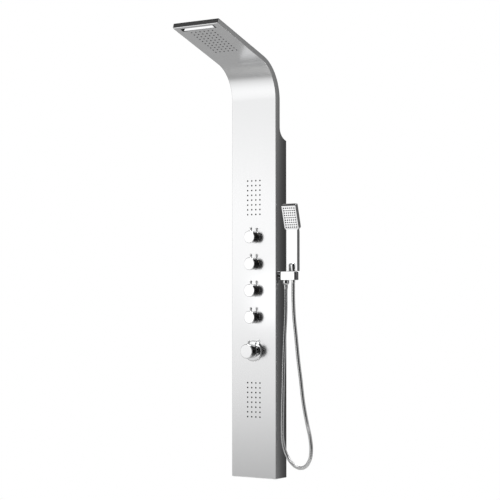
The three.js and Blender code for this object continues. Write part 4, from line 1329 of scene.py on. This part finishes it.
def head_box(half, front, back, low, high, ease=0.0):
    """A box on the hand shower's head, in millimetres, from its half width and its ends."""
    shape = bmesh.new()
    near, far = (-half * MM, front * MM, low * MM), (half * MM, back * MM, high * MM)
    add_box(shape, near, far, ease * MM, HEAD_PLACE)
    return shape


def make_handset_body():
    """The chrome body, with the pocket for its spray face and the arch at its foot."""
    pocket = head_box(POCKET_HALF, -3, 7, POCKET_LOW, POCKET_HIGH)
    arch = bmesh.new()
    outline = millimetres([(-14.5, -5), (14.5, -5)])
    for middle_x, start in ((7.5, 0), (-7.5, pi / 2)):
        for k in range(9):
            angle = start + pi / 2 * k / 8
            outline.append(((middle_x + 7 * cos(angle)) * MM, (24 + 7 * sin(angle)) * MM))
    add_prism(arch, outline, -20 * MM, 20 * MM, HANDLE_PLACE, axis="Y")
    shape = combine(handset_solid(), "DIFFERENCE", pocket, arch)
    add_turned(shape, bar_profile(9, 13, 33), CRADLE, Z_AXIS, segments=40, ease=0.4)
    add_piece("hand_shower_body", shape, "chrome", "handset", "handset_body")


def make_spray_face():
    """The face plate round the spray window, and the soft nozzles in it."""
    plate = head_box(POCKET_HALF - CLEAR, 0, 3.5, POCKET_LOW + CLEAR, POCKET_HIGH - CLEAR, 0.5)
    window = head_box(WINDOW_HALF, -2, 6, WINDOW_LOW, WINDOW_HIGH)
    frame_plate = combine(plate, "DIFFERENCE", window)
    add_piece("spray_face_plate", frame_plate, "chrome", "handset", "handset_face_plate")
    face = head_box(WINDOW_HALF - CLEAR, 0.3, 5, WINDOW_LOW + CLEAR, WINDOW_HIGH - CLEAR, 0.4)
    add_piece("spray_window", face, "chrome", "handset", "handset_face_plate")
    nubs = bmesh.new()
    toward = (HEAD_PLACE.to_3x3() @ -Y_AXIS).normalized()
    for row in range(SPRAY_ROWS):
        z = (WINDOW_LOW + WINDOW_HIGH) / 2 + (row - (SPRAY_ROWS - 1) / 2) * SPRAY_ROW_PITCH
        for column in range(SPRAY_COLUMNS):
            x = (column - (SPRAY_COLUMNS - 1) / 2) * SPRAY_COLUMN_PITCH
            spot = Vector((x, CLEAR, z)) * MM
            add_turned(nubs, SPRAY_NUB_PROFILE, HEAD_PLACE @ spot, toward, segments=14, ease=0.1)
    add_piece("spray_nozzles", nubs, "silicone", "handset", "handset_nozzle_mat")


# ---------------------------------------------------------------- hose
# The route from the outlet to the hand shower, in millimetres, with the same points as part.mjs. An
# optimiser moved the middle ones, so that no bend is tighter than about 60 mm.
HOSE_ROUTE = [
    (122.5, -42, 717.7), (122.5, -42, 690), (122.5, -43, 625), (119.5, -46, 538), (118, -50, 449),
    (116.9, -53.5, 343), (115.9, -56, 263), (115, -56.3, 190), (115.2, -53.6, 145.5),
    (124.3, -50.5, 105.2), (143.1, -48.5, 71.7), (170, -53.2, 51.7), (201.1, -62.7, 46.8),
    (230.5, -73.3, 58.3), (253.2, -83.5, 87.3), (259.6, -86.8, 126.8), (250.6, -80.1, 167),
    (231.8, -69.2, 215.8), (209, -58.1, 292.8), (193.3, -50.8, 377.3), (180.1, -46.6, 452.1),
    (169.5, -45, 538), (160.5, -43.7, 611), (156, -42.2, 680), (155.5, -42, 715), (155.5, -42, 741.7),
]
STEPS_PER_TURN = 6
HOSE_SIDES = 18
GROOVE_DEPTH = 0.75 * MM


def even_line(line, count):
    """A line resampled into equal steps, with its length."""
    spots = np.array(line)
    travelled = np.concatenate([[0], np.cumsum(np.linalg.norm(np.diff(spots, axis=0), axis=1))])
    wanted = np.linspace(0, travelled[-1], count + 1)
    columns = [np.interp(wanted, travelled, spots[:, axis]) for axis in range(3)]
    return [Vector(point) for point in zip(*columns)], float(travelled[-1])


NUT_PROFILE = [
    (0, -0.3), (11.8, -0.3), (13.0, -1.2), (13.2, -2.2), (13.2, -10.6), (12.6, -12.6), (11.2, -15.2),
    (8.6, -17.7), (0, -18),
]
FERRULE_PROFILE = [
    (0, -34.5), (7.9, -34.5), (7.9, -31), (7.5, -30.6), (7.5, -29.8), (7.9, -29.4), (7.9, -18.3),
    (0, -18.3),
]
CONE_PROFILE = [
    (0, -32), (7.5, -32), (7.9, -14), (8.3, 0), (12.4, 22), (12.2, 26), (10.8, 28.8), (9.4, 30.4),
    (9.4, 12), (0, 12),
]


def make_fittings():
    """The nuts and ferrules at both ends of the hose."""
    return [
        add_turned_piece("outlet_nut", "hose_outlet_nut", "chrome", "column", NUT_PROFILE, OUTLET, Z_AXIS,
                         segments=56, ease=0.8),
        add_turned_piece("outlet_ferrule", "hose_outlet_ferrule", "chrome", "column", FERRULE_PROFILE,
                         OUTLET, Z_AXIS, segments=40, ease=0.3),
        add_turned_piece("cone_nut", "hose_cone_nut", "chrome", "handset", CONE_PROFILE, CRADLE, Z_AXIS,
                         segments=56, ease=0.8),
        add_turned_piece("handset_ferrule", "hose_handset_ferrule", "chrome", "hose_end",
                         bar_profile(7.3, -43, -32.3), CRADLE, Z_AXIS, segments=40, ease=0.5),
    ]


def make_hose():
    """The wound steel hose: ridges a pitch apart, and a stretch that follows the hand shower."""
    curve = smooth_line([at(*point) for point in HOSE_ROUTE], 4 * MM)
    length = even_line(curve, 10)[1]
    turns = round(length / HOSE_PITCH)
    line, length = even_line(curve, turns * STEPS_PER_TURN)
    wave = [0.5 - 0.5 * cos(2 * pi * (i % STEPS_PER_TURN) / STEPS_PER_TURN) for i in range(len(line))]
    ridge = [value ** 0.6 for value in wave]
    radii = [HOSE_RADIUS - GROOVE_DEPTH * (1 - value) for value in ridge]
    shape = bmesh.new()
    add_tube(shape, line, radii, HOSE_SIDES)
    hose = finish_object("metal_hose", shape, "wound_steel", None)
    hose.modifiers.clear()
    share = [i / (len(line) - 1) for i in range(len(line))]
    # The ridge values also set the painted shade in the hose's grooves.
    store_along_hose(hose, "ridge", ridge)
    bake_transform(hose, "column", "hose_end", line[0], line[-1])
    store_along_hose(hose, "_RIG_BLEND", [t * t * (3 - 2 * t) for t in share])
    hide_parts("shower_hose")
    make_fittings()


def store_along_hose(hose, name, values):
    """Stores one value per ring of the hose. Its vertices lie ring after ring."""
    wanted = np.repeat(np.array(values, np.float32), HOSE_SIDES)
    attribute = hose.data.attributes.get(name) or hose.data.attributes.new(name, "FLOAT", "POINT")
    attribute.data.foreach_set("value", wanted)


# ---------------------------------------------------------------- build
make_stage()
make_hose()
make_panel()
make_rear_cover()
make_nozzles()
make_jet_trays()
add_cad_piece("rain_tray", "rain_chamber", "white_plastic", 0.6 * MM)
make_waterfall()
make_diverters()
make_mixer()
make_valve_bodies()
make_inlets()
make_wall_hardware()
make_pipes()
make_holder()
make_handset_body()
make_spray_face()
